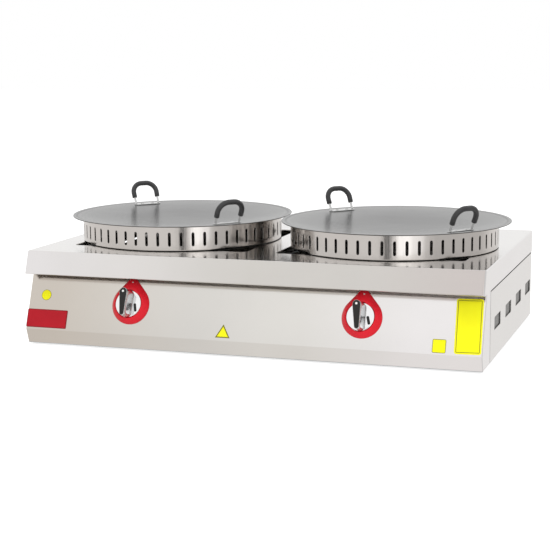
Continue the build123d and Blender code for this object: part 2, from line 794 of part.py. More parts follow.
    burner_bottom = burner_top - burner_height
    port_middle = (burner_radius + burner_inner_radius) / 2
    port_radii = (port_middle - port_row_offset, port_middle + port_row_offset)
    bar_reach = burner_inner_radius + burner_wall
    with BuildPart() as burner:
        with BuildSketch(Plane(origin=(ring_x, ring_centre_y, burner_bottom))):
            Circle(burner_radius)
            Circle(burner_inner_radius, mode=Mode.SUBTRACT)
        extrude(amount=burner_height)
        fillet(burner.faces().sort_by(Axis.Z)[-1].edges(), burner_round)
        with BuildSketch(Plane(origin=(ring_x, ring_centre_y, burner_bottom))):
            Rectangle(crossbar_width, 2 * bar_reach)
        extrude(amount=burner_height - burner_round)
        with BuildSketch(tube_plane(neck_front)):
            Circle(neck_radius)
        extrude(amount=neck_reach + burner_wall)
        with BuildSketch(tube_plane(neck_front)):
            Circle(tube_outlet_radius + rail_gap)
        extrude(amount=tube_insert + seat_gap, mode=Mode.SUBTRACT)
        for port_row in port_radii:
            with BuildSketch(Plane(origin=(ring_x, ring_centre_y, burner_top))):
                with PolarLocations(port_row, port_count):
                    Circle(port_radius)
            extrude(amount=-port_depth, mode=Mode.SUBTRACT)
    save(burner, f"burner_{side}")

    with BuildPart() as burner_stand:
        with BuildSketch(Plane.XZ.offset(-(ring_centre_y + stand_width / 2))):
            with BuildLine():
                Polyline(
                    (ring_x - stand_spread / 2 - stand_foot, floor_z),
                    (ring_x - stand_spread / 2 + stand_sheet, floor_z),
                    (ring_x - stand_spread / 2 + stand_sheet, burner_bottom - stand_sheet),
                    (ring_x + stand_spread / 2 - stand_sheet, burner_bottom - stand_sheet),
                    (ring_x + stand_spread / 2 - stand_sheet, floor_z),
                    (ring_x + stand_spread / 2 + stand_foot, floor_z),
                    (ring_x + stand_spread / 2 + stand_foot, floor_z + stand_sheet),
                    (ring_x + stand_spread / 2, floor_z + stand_sheet),
                    (ring_x + stand_spread / 2, burner_bottom),
                    (ring_x - stand_spread / 2, burner_bottom),
                    (ring_x - stand_spread / 2, floor_z + stand_sheet),
                    (ring_x - stand_spread / 2 - stand_foot, floor_z + stand_sheet),
                    close=True,
                )
            make_face()
        extrude(amount=stand_width)
    save(burner_stand, f"burner_stand_{side}")

    with BuildPart() as spill_tray:
        with BuildSketch(Plane(origin=(ring_x, ring_centre_y, floor_z))):
            RectangleRounded(tray_width, tray_depth, opening_corner)
        extrude(amount=tray_height)
        with BuildSketch(Plane(origin=(ring_x, ring_centre_y, floor_z + tray_sheet))):
            RectangleRounded(tray_width, tray_depth, opening_corner)
            offset(amount=-tray_sheet, mode=Mode.REPLACE)
        extrude(amount=tray_height, mode=Mode.SUBTRACT)
    save(spill_tray, f"spill_tray_{side}")

clamp_screws = screws(
    clamp_screw_planes,
    clamp_drop + clamp_screw_grip - edge_gap,
    clamp_screw_radius,
    clamp_screw_head_radius,
    clamp_screw_head_height,
)
save(clamp_screws, "clamp_screws")

# Collar rings: slotted bands with a flange turned in at the bottom.
ring_foot = hob_height + seat_gap
ring_top = ring_foot + ring_height
slot_middle = ring_foot + slot_lift + slot_height / 2
for side, ring_x in RING_XS.items():
    with BuildPart() as collar_ring:
        with BuildSketch(Plane(origin=(ring_x, ring_centre_y, ring_foot))):
            Circle(ring_radius)
            Circle(ring_radius - ring_sheet, mode=Mode.SUBTRACT)
        extrude(amount=ring_height)
        with BuildSketch(Plane(origin=(ring_x, ring_centre_y, ring_foot))):
            Circle(ring_radius)
            Circle(ring_radius - ring_flange, mode=Mode.SUBTRACT)
        extrude(amount=ring_sheet)
        for n in range(slot_count):
            turn = radians(SLOT_TURNS[side] + n * 360 / slot_count)
            outward = (cos(turn), sin(turn), 0)
            along = (-sin(turn), cos(turn), 0)
            spot = Plane(origin=(ring_x, ring_centre_y, slot_middle), x_dir=along, z_dir=outward)
            with BuildSketch(spot.offset(ring_radius - 2 * ring_sheet)):
                SlotOverall(slot_height, slot_width, rotation=90)
            extrude(amount=3 * ring_sheet, mode=Mode.SUBTRACT)
    save(collar_ring, f"collar_ring_{side}")

# Pans: shallow spherical dishes that seat on the rings' upper edges.
dish_radius = (pan_radius**2 + pan_depth**2) / (2 * pan_depth)
under_radius = dish_radius + pan_wall


def dish_sink(radius):
    """How far the dish's inner face lies below its rim, at a distance from the pan's middle."""
    return sqrt(dish_radius**2 - radius**2) - (dish_radius - pan_depth)


def rim_height(side):
    """The pan's underside meets the ring's inner edge where that edge is nearest to the pan's middle."""
    seat_radius = ring_radius - ring_sheet - abs(PAN_XS[side] - RING_XS[side])
    return ring_top + seat_gap + sqrt(under_radius**2 - seat_radius**2) - (dish_radius - pan_depth)


rim_under = sqrt(under_radius**2 - pan_radius**2) - (dish_radius - pan_depth)
foot_slope = atan2(handle_foot_radius, sqrt(dish_radius**2 - handle_foot_radius**2))


def handle_frames(side):
    """For each of a pan's two handles: the strap's plane on the dish, and the leaning handle's plane."""
    frames = []
    for turn in (HANDLE_TURNS[side], HANDLE_TURNS[side] - handle_across):
        angle = radians(turn)
        outward = Vector(cos(angle), sin(angle), 0)
        along = Vector(-sin(angle), cos(angle), 0)
        up = outward * -sin(foot_slope) + Vector(0, 0, cos(foot_slope))
        spot = Vector(PAN_XS[side], ring_centre_y, rim_height(side) - dish_sink(handle_foot_radius))
        spot = spot + outward * handle_foot_radius + up * strap_gap
        strap = Plane(origin=spot, x_dir=along, z_dir=up)
        rise = outward * sin(radians(handle_lean)) + Vector(0, 0, cos(radians(handle_lean)))
        bail = Plane(origin=spot, x_dir=along, z_dir=along.cross(rise))
        frames.append((strap, bail))
    return frames


rivet_holes = [(-rivet_spread / 2, 0), (rivet_spread / 2, 0)]
rivet_depth = strap_gap + pan_wall
half_spread = handle_spread / 2
half_top = handle_top_spread / 2
handle_corner = handle_corner_share * handle_top_spread
half_sleeve = half_spread + (half_top - half_spread) * sleeve_lift / handle_height
for side, pan_middle in PAN_XS.items():
    frames = handle_frames(side)
    straps = [strap for strap, _ in frames]

    upright = Plane(origin=(pan_middle, ring_centre_y, rim_height(side)), x_dir=(1, 0, 0), z_dir=(0, -1, 0))
    with BuildPart() as pan:
        with BuildSketch(upright):
            with BuildLine():
                inside = RadiusArc((0, -pan_depth), (pan_radius, 0), -dish_radius)
                Line(inside @ 1, (pan_radius, -rim_under))
                RadiusArc((pan_radius, -rim_under), (0, -pan_depth - pan_wall), under_radius)
                Line((0, -pan_depth - pan_wall), (0, -pan_depth))
            make_face()
        revolve(axis=Axis((pan_middle, ring_centre_y, 0), (0, 0, 1)))
        with BuildSketch(*straps):
            with Locations(*rivet_holes):
                Circle(rivet_radius + rivet_gap)
        extrude(amount=2 * rivet_depth, both=True, mode=Mode.SUBTRACT)
    save(pan, f"pan_{side}")

    with BuildPart() as handle_straps:
        with BuildSketch(*straps):
            SlotOverall(strap_length, strap_width)
            with Locations(*rivet_holes):
                Circle(rivet_radius + rivet_gap, mode=Mode.SUBTRACT)
        extrude(amount=strap_thickness)
    save(handle_straps, f"handle_straps_{side}")

    with BuildPart() as handle_rivets:
        for strap in straps:
            with BuildSketch(strap.offset(strap_thickness)):
                with Locations(*rivet_holes):
                    Circle(rivet_radius)
            extrude(amount=-(strap_thickness + rivet_depth + 2 * rivet_gap))
            with BuildSketch(strap.offset(strap_thickness)):
                with Locations(*rivet_holes):
                    Circle(rivet_head_radius)
            extrude(amount=rivet_head_height, taper=rivet_head_taper)
            with BuildSketch(strap.offset(-rivet_depth - 2 * rivet_gap)):
                with Locations(*rivet_holes):
                    Circle(rivet_head_radius)
            extrude(amount=-rivet_head_height, taper=rivet_head_taper)
    save(handle_rivets, f"handle_rivets_{side}")

    with BuildPart() as handle_wires:
        for strap, bail in frames:
            with BuildLine(bail):
                bow = FilletPolyline(
                    (-half_spread, 0),
                    (-half_top, handle_height),
                    (half_top, handle_height),
                    (half_spread, 0),
                    radius=handle_corner,
                )
            with BuildSketch(Plane(origin=bow @ 0, z_dir=bow % 0)):
                Circle(wire_radius)
            sweep()
        for strap in straps:
            split(bisect_by=strap.offset(strap_thickness), keep=Keep.TOP)
    save(handle_wires, f"handle_wires_{side}")

    with BuildPart() as handle_sleeves:
        for strap, bail in frames:
            with BuildLine(bail):
                bow = FilletPolyline(
                    (-half_sleeve, sleeve_lift),
                    (-half_top, handle_height),
                    (half_top, handle_height),
                    (half_sleeve, sleeve_lift),
                    radius=handle_corner,
                )
            with BuildSketch(Plane(origin=bow @ 0, z_dir=bow % 0)):
                Circle(sleeve_radius)
                Circle(wire_radius + sleeve_gap, mode=Mode.SUBTRACT)
            sweep()
    save(handle_sleeves, f"handle_sleeves_{side}")


# Marks on the front panel: a raised badge plate and four plain labels.
def panel_spot(x, drop):
    """The panel's face at a place given by x and by the distance down from the fascia's lower edge."""
    origin = (x, panel_top_y - drop * lean_sin, skirt_z - drop * lean_cos)
    return Plane(origin=origin, x_dir=(1, 0, 0), z_dir=(0, -lean_cos, lean_sin))


with BuildPart() as badge_plate:
    with BuildSketch(panel_spot(badge_x, badge_drop)):
        RectangleRounded(badge_width, badge_height, badge_corner)
    extrude(amount=badge_thickness)
save(badge_plate, "badge_plate")

with BuildPart() as round_label:
    with BuildSketch(panel_spot(round_x, round_drop)):
        Circle(round_radius)
    extrude(amount=mark_thickness)
save(round_label, "round_label")

with BuildPart() as triangle_label:
    with BuildSketch(panel_spot(triangle_x, triangle_drop)):
        RegularPolygon(triangle_side / sqrt(3), 3, rotation=90)
    extrude(amount=mark_thickness)
save(triangle_label, "triangle_label")

with BuildPart() as square_label:
    with BuildSketch(panel_spot(square_x, square_drop)):
        RectangleRounded(square_side, square_side, label_corner)
    extrude(amount=mark_thickness)
save(square_label, "square_label")

with BuildPart() as tall_label:
    with BuildSketch(panel_spot(tall_x, tall_drop)):
        RectangleRounded(tall_width, tall_height, label_corner, rotation=tall_turn)
    extrude(amount=mark_thickness)
save(tall_label, "tall_label")
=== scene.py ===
import json
import math

import bmesh
import bpy
from mathutils import Matrix, Vector


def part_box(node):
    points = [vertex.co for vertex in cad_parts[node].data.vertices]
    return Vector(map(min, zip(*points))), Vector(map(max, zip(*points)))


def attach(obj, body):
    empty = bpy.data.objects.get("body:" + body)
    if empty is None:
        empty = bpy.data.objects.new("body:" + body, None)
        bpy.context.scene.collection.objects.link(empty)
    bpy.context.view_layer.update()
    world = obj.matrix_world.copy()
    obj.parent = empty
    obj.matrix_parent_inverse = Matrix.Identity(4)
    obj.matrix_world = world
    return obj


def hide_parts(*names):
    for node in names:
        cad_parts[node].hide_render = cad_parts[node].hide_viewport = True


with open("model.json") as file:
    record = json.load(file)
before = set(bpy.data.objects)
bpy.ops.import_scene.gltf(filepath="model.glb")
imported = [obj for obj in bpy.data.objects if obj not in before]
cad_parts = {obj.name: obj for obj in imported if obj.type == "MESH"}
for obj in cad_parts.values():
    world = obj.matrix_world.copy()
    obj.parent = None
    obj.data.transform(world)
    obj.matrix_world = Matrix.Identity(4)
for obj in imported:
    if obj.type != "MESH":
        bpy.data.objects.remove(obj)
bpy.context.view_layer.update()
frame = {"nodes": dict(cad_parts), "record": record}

MM = 0.001
SIDES = (("left", -1), ("right", 1))

# Places shared with the solids, read from their boxes
HOB_LOW, HOB_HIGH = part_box("hob_top")
RING_LOW, RING_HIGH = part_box("collar_ring_left")
RIM_Z = {side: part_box(f"pan_{side}")[1].z for side, _ in SIDES}
BACK = HOB_HIGH.y
HOB_TOP = HOB_HIGH.z
SKIRT = HOB_LOW.z
HALF = HOB_HIGH.x

# Casing: its sheet, the face of its sides and the upper edge of its leaning fascia
SHEET = 1.5 * MM
CASING = HALF - SHEET
FASCIA_LEAN = 17 * MM
FRONT = HOB_LOW.y + FASCIA_LEAN

# Front panel: it leans back from its bend by a recess, up to the hob's skirt
BEND_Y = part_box("front_panel")[0].y
BEND_Z = 36 * MM
RECESS = 44 * MM
PANEL_TOP_Y = BEND_Y + RECESS
RUN = math.hypot(RECESS, SKIRT - BEND_Z)
LEAN_SIN = RECESS / RUN
LEAN_COS = (SKIRT - BEND_Z) / RUN
PANEL_OUT = Vector((0, -LEAN_COS, LEAN_SIN))
PANEL_UP = Vector((0, LEAN_SIN, LEAN_COS))

# Hob top: wells for the burners, then the radii of its folds
WELL_IN = 33 * MM
WELL_OUT = 437 * MM
WELL_FRONT = FRONT + 102 * MM
WELL_BACK = FRONT + 458 * MM
WELL_RIM = 14 * MM + SHEET
WELL_CORNER = 10 * MM
HEM = 12 * MM
CORNER_FOLD = 5 * MM
TOP_FOLD = 2.5 * MM
LIP_FOLD = 3 * MM
WELL_FOLD = 2 * MM

# Joint lines cut into the panels, as drops below the skirt and depths behind the side's face
OVERCUT = 1 * MM
JOINT_DROP = 4.1 * MM
JOINT_DEPTH = 2.2 * MM
JOINT_END = 6 * MM
FLANGE_DROP = 1.4 * MM
FLANGE_DEPTH = 0.7 * MM
FLANGE_FRONT = 3 * MM
FLANGE_BACK = 61 * MM

# Side vents: the solids' baffles lie between two depths, and the scene's stand nearer to the wall
BAFFLE_NEAR = 8 * MM
BAFFLE_FAR = 10.5 * MM
BAFFLE_SHIFT = 5 * MM
VENT_ZONE = (55 * MM, 100 * MM)

# Collar rings, with slots between two heights
RING_X = {"left": -250.5 * MM, "right": 246.5 * MM}
RING_Y = FRONT + 281 * MM
RING_R = 226 * MM
RING_TURN = {"left": 2.05, "right": 1.2}
SLOTS = 56
SLOT_HALF = 3 * MM
SLOT_LOW = 10.7 * MM
SLOT_HIGH = 40.7 * MM
FOOT_BEND = 3.2 * MM
FOOT_WIDTH = 12 * MM
RING_EDGE = 0.35 * MM

# Pans: a dish that is part of a sphere, with a fold near its rim
PAN_X = {"left": -250.2 * MM, "right": 250.2 * MM}
PAN_R = 249.2 * MM
PAN_DEPTH = 12 * MM
PAN_WALL = 2.5 * MM
PAN_EDGE = 1.1 * MM
PAN_FOLD = PAN_R - 8.5 * MM
DISH_R = (PAN_R**2 + PAN_DEPTH**2) / (2 * PAN_DEPTH)

# Pan handles: angles in degrees, an arch of wire, its rubber sleeve and the strap under its feet
HANDLE_TURN = {"left": 136.0, "right": 139.0}
HANDLE_APART = 177.5
HANDLE_LEAN = 24.0
HANDLE_FOOT_R = 216 * MM
HANDLE_LIFT = 0.35 * MM
ARCH_FOOT = 28.5 * MM
ARCH_TOP = 30 * MM
ARCH_HEIGHT = 53.5 * MM
ARCH_CORNER = 0.78 * ARCH_TOP
WIRE_R = 2.5 * MM
WIRE_START = 1.8 * MM
SLEEVE_R = 5.8 * MM
SLEEVE_START = 18 * MM
SLEEVE_EDGE = 0.9 * MM
STRAP_HALF = 25 * MM
STRAP_R = 8 * MM
STRAP_THICK = 2.2 * MM
STRAP_EDGE = 0.5 * MM
RIVET_HALF = 13 * MM

# Knobs: places on the front panel and turns in degrees
KNOB_X = {"left": -257.3 * MM, "right": 250.5 * MM}
KNOB_DROP = 62 * MM
KNOB_TURN = {"left": 2.4, "right": 5.3}

# Bezel and its crown: the radii of the round end and of the tip, and how far up the tip stands
BEZEL_R = 42.3 * MM
BEZEL_TIP_R = 13.5 * MM
BEZEL_TIP_Y = 43.5 * MM
CROWN_R = 31.6 * MM
CROWN_TIP_R = 26 * MM
CROWN_TIP_Y = 7 * MM
INDEX_PLACE = (2.2 * MM, 47.5 * MM, 7.9 * MM)
INDEX_SLOPE = math.atan2(15.0, 24.0)

# Dial and its marks, then the grip's two round ends in millimetres
DIAL_FACE = 15 * MM
DOT_Y = 21.7 * MM
MARK_PLACE = (16.8 * MM, -8.2 * MM)
MARK_WIDTH = 5.8 * MM
MARK_LENGTH = 18 * MM
MARK_CORNER = 2.7 * MM
MARK_LEAN = 10.0
GRIP_FOOT = (-24.0, 5.2)
GRIP_HEAD = (20.5, 8.7)

# Badge and labels
BADGE_THICK = 1.2 * MM
LABEL_THICK = 0.4 * MM

# Profiles of the turned and stacked pieces, in millimetres.
# Rivets: radius and height above the pan.
RIVET_HEAD = ((0, 4.0), (1.6, 3.85), (3.0, 3.3), (4.0, 2.5), (4.2, 2.2), (0, 2.2))
RIVET_TAIL = ((0, -3.05), (4.2, -3.05), (4.0, -3.45), (3.0, -4.25), (1.6, -4.65), (0, -4.75))
# Bezel: share of the way from its outline to its crown, height, and how far it is drawn in.
BEZEL_STEPS = (
    (0.02, 0.0, 0), (0.0, 0.5, 0), (0.0, 1.3, 0), (0.02, 1.9, 0), (0.10, 3.4, 0), (0.30, 6.6, 0),
    (0.55, 9.9, 0), (0.78, 12.7, 0), (0.93, 14.3, 0), (1.0, 15.0, 0.3),
)
BEZEL_BORE = ((30.5, 14.9), (30.0, 14.3), (30.0, 0.0))
# Dial and dots: radius and height.
DIAL = ((0, 6.0), (28.6, 6.0), (29.2, 6.6), (29.2, 13.2), (28.9, 14.1), (28.2, 14.8), (27.2, 15.0), (0, 15.0))
KNOB_DOT = ((0, 46.15), (1.9, 46.1), (2.4, 45.95), (2.4, 45.3), (0, 45.3))
INDEX_DOT = ((0, 0.6), (1.2, 0.5), (1.8, 0.1), (1.8, -1.5), (0, -1.5))
# Grip and its insert: growth towards the foot, height, and how far the edge is drawn in.
GRIP_STEPS = (
    (4.5, 14.9, 0), (4.1, 15.3, 0), (3.2, 16.4, 0), (2.3, 18.2, 0), (1.5, 21.5, 0), (0.8, 27.0, 0),
    (0.3, 35.0, 0), (0, 44.2, 0), (0, 44.8, 0.25), (0, 45.0, 0.6), (0, 44.4, 0.75),
)
INSERT_STEPS = ((0, 44.0, 0.8), (0, 45.2, 0.8), (0, 45.65, 1.15), (0, 45.8, 1.8))

# A face looks along an axis when its normal has more than this share along it
FACING = 0.7

# Where most values of a noise texture lie, for a wide and for a narrow change
WIDE = (0.3, 0.7)
NARROW = (0.35, 0.65)

# Every material by its name
MAT = {}


# Node material helpers
def bare_material(name):
    """A material whose node tree holds only its output."""
    mat = bpy.data.materials.new(name)
    mat.use_nodes = True
    tree = mat.node_tree
    tree.nodes.clear()
    MAT[name] = mat
    return mat, tree, tree.nodes.new("ShaderNodeOutputMaterial")


def shaded_material(name, metallic=0.0):
    mat, tree, out = bare_material(name)
    shader = tree.nodes.new("ShaderNodeBsdfPrincipled")
    shader.inputs["Metallic"].default_value = metallic
    tree.links.new(shader.outputs["BSDF"], out.inputs["Surface"])
    return tree, shader


def rgb(r, g, b):
    return (r, g, b, 1)


def own_place(tree):
    """The place of a point in its object's own coordinates."""
    return tree.nodes.new("ShaderNodeTexCoord").outputs["Object"]


def stretched(tree, scale=(1, 1, 1)):
    mapping = tree.nodes.new("ShaderNodeMapping")
    mapping.inputs["Scale"].default_value = scale
    tree.links.new(own_place(tree), mapping.inputs["Vector"])
    return mapping.outputs["Vector"]


def split_axes(tree, vector):
    split = tree.nodes.new("ShaderNodeSeparateXYZ")
    tree.links.new(vector, split.inputs[0])
    return split.outputs


def ramp(tree, value, stops):
    """A colour that changes with a value: each stop is a position and a colour."""
    node = tree.nodes.new("ShaderNodeValToRGB")
    elements = node.color_ramp.elements
    for element, (position, colour) in zip(elements, (stops[0], stops[-1])):
        element.position = position
        element.color = rgb(*colour)
    for position, colour in stops[1:-1]:
        elements.new(position).color = rgb(*colour)
    tree.links.new(value, node.inputs["Fac"])
    return node.outputs["Color"]


def noise(tree, vector, scale, detail=3.0, rough=0.5):
    node = tree.nodes.new("ShaderNodeTexNoise")
    node.inputs["Scale"].default_value = scale
    node.inputs["Detail"].default_value = detail
    node.inputs["Roughness"].default_value = rough
    tree.links.new(vector, node.inputs["Vector"])
    return node.outputs["Fac"]


def remap(tree, value, source, target):
    """Takes a value from one range to another and clamps it there."""
    node = tree.nodes.new("ShaderNodeMapRange")
    node.inputs["From Min"].default_value, node.inputs["From Max"].default_value = source
    node.inputs["To Min"].default_value, node.inputs["To Max"].default_value = target
    tree.links.new(value, node.inputs["Value"])
    return node.outputs["Result"]


def maths(tree, operation, first, second):
    node = tree.nodes.new("ShaderNodeMath")
    node.operation = operation
    tree.links.new(first, node.inputs[0])
    tree.links.new(second, node.inputs[1])
    return node.outputs[0]


def scaled(tree, colour, factor):
    node = tree.nodes.new("ShaderNodeVectorMath")
    node.operation = "SCALE"
    tree.links.new(colour, node.inputs[0])
    tree.links.new(factor, node.inputs["Scale"])
    return node.outputs["Vector"]


def feed(tree, shader, colour, roughness, height, strength, distance):
    """Gives a shader its colour and roughness and a bump."""
    tree.links.new(colour, shader.inputs["Base Color"])
    tree.links.new(roughness, shader.inputs["Roughness"])
    bump = tree.nodes.new("ShaderNodeBump")
    bump.inputs["Strength"].default_value = strength
    bump.inputs["Distance"].default_value = distance
    tree.links.new(height, bump.inputs["Height"])
    tree.links.new(bump.outputs["Normal"], shader.inputs["Normal"])


def tones(colour, change):
    """A darker and a lighter tone of a colour, by a share of it."""
    return [[min(1.0, part * factor) for part in colour] for factor in (1 - change, 1 + change)]


def metal(name, colour, rough, spread, tint, scale, relief, grain=(1, 1, 1)):
    """Sheet or cast metal: colour and roughness vary along a grain, with a faint bump of the same grain."""
    tree, shader = shaded_material(name, 1.0)
    streak = noise(tree, stretched(tree, grain), scale, 4.0, 0.6)
    cloud = noise(tree, stretched(tree), 5.0, 2.0)
    colour = ramp(tree, cloud, list(zip(WIDE, tones(colour, tint))))
    roughness = remap(tree, streak, WIDE, (rough - spread, rough + spread))
    feed(tree, shader, colour, roughness, streak, relief, 0.5 * MM)


def plastic(name, colour, rough, speck=0.03, scale=900.0, relief=0.03, shine=0.2):
    """Moulded plastic or rubber: a fine moulding texture and a slight change of tone."""
    tree, shader = shaded_material(name)
    shader.inputs["Specular IOR Level"].default_value = shine
    fine = noise(tree, stretched(tree), scale, 2.0)
    cloud = noise(tree, stretched(tree), 18.0, 2.0)
    colour = ramp(tree, cloud, list(zip(NARROW, tones(colour, speck))))
    roughness = remap(tree, fine, NARROW, (rough - 0.04, rough + 0.06))
    feed(tree, shader, colour, roughness, fine, relief, 0.3 * MM)


def long_sheet(name, stops, rough, lower_edge_shade=1.0):
    """Polished sheet with a painted reflection: its tone drifts along its length, by stops in millimetres
    from its middle, and painted shade darkens it towards its lower edge."""
    tree, shader = shaded_material(name, 1.0)
    axes = split_axes(tree, own_place(tree))
    along = remap(tree, axes["X"], (-HALF, HALF), (0.0, 1.0))
    # Painted reflection: the sheet's tone changes along its length
    painted_reflection = ramp(tree, along, [(x * MM / (2 * HALF) + 0.5, colour) for x, colour in stops])
    streak = noise(tree, stretched(tree, ROLLED), 40.0, 4.0, 0.6)
    # Painted shade towards the lower edge
    painted_lower_shade = remap(tree, axes["Z"], (40 * MM, 90 * MM), (lower_edge_shade, 1.0))
    cloud = remap(tree, noise(tree, stretched(tree), 6.0), WIDE, (0.98, 1.02))
    colour = scaled(tree, painted_reflection, maths(tree, "MULTIPLY", painted_lower_shade, cloud))
    roughness = remap(tree, streak, WIDE, (rough - 0.03, rough + 0.03))
    feed(tree, shader, colour, roughness, streak, 0.01, 0.5 * MM)


def spun_metal(name, stops, rough, spread, tint, edge, scale, relief):
    """Spun sheet: the grain runs in circles round the piece's own middle, and its tone, painted light,
    changes with the share of the pan's radius."""
    tree, shader = shaded_material(name, 1.0)
    shader.inputs["Specular Tint"].default_value = rgb(edge, edge, edge)
    flat = tree.nodes.new("ShaderNodeVectorMath")
    flat.operation = "MULTIPLY"
    flat.inputs[1].default_value = (1, 1, 0)
    tree.links.new(own_place(tree), flat.inputs[0])
    radius = tree.nodes.new("ShaderNodeVectorMath")
    radius.operation = "LENGTH"
    tree.links.new(flat.outputs["Vector"], radius.inputs[0])
    outward = tree.nodes.new("ShaderNodeCombineXYZ")
    tree.links.new(radius.outputs["Value"], outward.inputs["X"])
    circles = noise(tree, outward.outputs["Vector"], scale, 3.0, 0.7)
    share = remap(tree, radius.outputs["Value"], (0.0, PAN_R), (0.0, 1.0))
    # Painted light by the share of the pan's radius
    tone = ramp(tree, share, [(at, (v, v, v * 0.995)) for at, v in stops])
    cloud = remap(tree, noise(tree, stretched(tree), 7.0), WIDE, (1 - tint, 1 + tint))
    roughness = remap(tree, circles, WIDE, (rough - spread, rough + spread))
    feed(tree, shader, scaled(tree, tone, cloud), roughness, circles, relief, 0.3 * MM)


# Metals: colour, roughness and its spread, change of tone, scale and depth of the grain, its stretch
ROLLED = (1, 30, 30)
metal("polished_sheet", (0.73, 0.715, 0.70), 0.20, 0.03, 0.015, 40.0, 0.01, ROLLED)
metal("mirror_sheet", (0.74, 0.72, 0.70), 0.15, 0.04, 0.02, 40.0, 0.01, ROLLED)
# A lighter copy of the polished sheet for faces that look sideways or back: painted light
metal("side_sheet_painted_light", (0.80, 0.785, 0.785), 0.20, 0.03, 0.015, 40.0, 0.01, ROLLED)
metal("collar_steel", (0.63, 0.60, 0.575), 0.17, 0.05, 0.04, 30.0, 0.03, (9, 9, 0.4))
metal("bright_wire", (0.62, 0.62, 0.615), 0.20, 0.04, 0.03, 300.0, 0.02)
metal("chrome_dial", (0.90, 0.90, 0.90), 0.07, 0.03, 0.02, 200.0, 0.01)
metal("grip_metal", (0.67, 0.68, 0.685), 0.24, 0.06, 0.10, 300.0, 0.03, (1, 1, 0.1))
metal("galvanised", (0.47, 0.48, 0.49), 0.42, 0.10, 0.12, 70.0, 0.05)
metal("iron", (0.075, 0.073, 0.070), 0.62, 0.10, 0.20, 260.0, 0.35)
metal("yellow_brass", (0.72, 0.50, 0.20), 0.28, 0.06, 0.06, 200.0, 0.03)
metal("pipe_steel", (0.46, 0.46, 0.46), 0.38, 0.08, 0.06, 150.0, 0.03)
metal("alloy", (0.62, 0.62, 0.62), 0.40, 0.06, 0.05, 160.0, 0.03)
metal("pan_under", (0.50, 0.49, 0.48), 0.50, 0.08, 0.10, 60.0, 0.05)
# Near-black painted shade for the pan's outer rim edge and its underside beyond the burner
metal("pan_edge_painted_shade", (0.12, 0.115, 0.11), 0.45, 0.08, 0.15, 60.0, 0.05)
# Painted reflection along the fascia and the front panel, with painted shade towards the front panel's lower
# edge
long_sheet("fascia_sheet", [
    (-470, (0.79, 0.765, 0.76)), (-230, (0.72, 0.695, 0.675)), (10, (0.645, 0.62, 0.585)),
    (250, (0.64, 0.615, 0.585)), (470, (0.617, 0.565, 0.545)),
], 0.16)
long_sheet("front_sheet", [
    (-430, (0.617, 0.565, 0.505)), (-120, (0.694, 0.672, 0.638)), (120, (0.752, 0.73, 0.694)),
    (360, (0.847, 0.82, 0.815)),
], 0.14, 0.97)
# Painted reflection on the pans, darker in the middle and lighter towards the rim, with a dark line of
# painted shade at the fold near the rim
spun_metal("pan_steel", [
    (0.0, 0.385), (0.45, 0.41), (0.80, 0.52), (0.955, 0.60),
    (0.962, 0.40), (0.968, 0.40), (0.975, 0.60), (1.0, 0.58),
], 0.25, 0.04, 0.05, edge=0.60, scale=900.0, relief=0.03)

# Plastics, rubber and prints: colour, roughness, change of tone, scale and depth of the texture, shine
plastic("handle_rubber", (0.030, 0.030, 0.031), 0.34, 0.35, 700.0, 0.10, 0.5)
plastic("foot_rubber", (0.022, 0.022, 0.022), 0.65, 0.10, 500.0, 0.15)
plastic("black_plastic", (0.018, 0.017, 0.016), 0.30, 0.08, 800.0, 0.02, 0.25)
plastic("red_plastic", (0.74, 0.016, 0.030), 0.25, 0.05, 700.0, 0.02, 0.18)
plastic("red_print", (0.46, 0.010, 0.020), 0.35, 0.04, 600.0, 0.02, 0.18)
plastic("yellow_print", (0.96, 0.93, 0.014), 0.40, 0.03, 600.0, 0.02, 0.12)
# Darker grey painted shade for the inside faces of the side panels and their vent baffles
plastic("inner_sheet_painted_shade", (0.27, 0.264, 0.255), 0.6, 0.05, 90.0, 0.02, 0.3)
plastic("sheet_back", (0.80, 0.78, 0.76), 0.6, 0.05, 90.0, 0.02, 0.3)
plastic("white_mark", (0.80, 0.80, 0.78), 0.35)
# Near-black for the knob's printed level mark, and as painted shade at the ring's foot and in the side
# panels' joints
plastic("dark_mark", (0.02, 0.02, 0.02), 0.35)
plastic("dark_red", (0.26, 0.006, 0.012), 0.35)
plastic("yellow_edge", (0.22, 0.20, 0.02), 0.4)

slot_of = {s["node"]: s["material_slot"] for s in frame["record"]["subparts"]}
for name, obj in frame["nodes"].items():
    obj.data.materials.clear()
    obj.data.materials.append(MAT[slot_of[name]])


# Mesh helpers
def finish_mesh(name, bm, materials, smooth_angle=35.0, place=None):
    """Welds a mesh, shades it and links it into the scene, with its materials given by name."""
    bmesh.ops.remove_doubles(bm, verts=bm.verts, dist=1e-6)
    bmesh.ops.recalc_face_normals(bm, faces=bm.faces)
    mesh = bpy.data.meshes.new(name)
    bm.to_mesh(mesh)
    bm.free()
    for material in materials:
        mesh.materials.append(MAT[material])
    mesh.shade_smooth()
    mesh.set_sharp_from_angle(angle=math.radians(smooth_angle))
    obj = bpy.data.objects.new(name, mesh)
    bpy.context.scene.collection.objects.link(obj)
    if place is not None:
        obj.matrix_world = place
    return obj


def stand_in(obj, node_name, body):
    """Puts a finer mesh in the place of a solid's own."""
    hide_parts(node_name)
    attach(obj, body)


def paint(obj, rule):
    """Gives each face the material whose number the rule names."""
    for face in obj.data.polygons:
        face.material_index = rule(face)


def modify(obj, name, kind, **settings):
    modifier = obj.modifiers.new(name, kind)
    for key, value in settings.items():
        setattr(modifier, key, value)


def thicken(obj, material_offset=0):
    """Gives an open skin the sheet's thickness. Its inner faces take materials from further down the list."""
    settings = {"thickness": SHEET, "offset": -1, "use_even_offset": True, "material_offset": material_offset}
    modify(obj, "sheet", "SOLIDIFY", **settings)


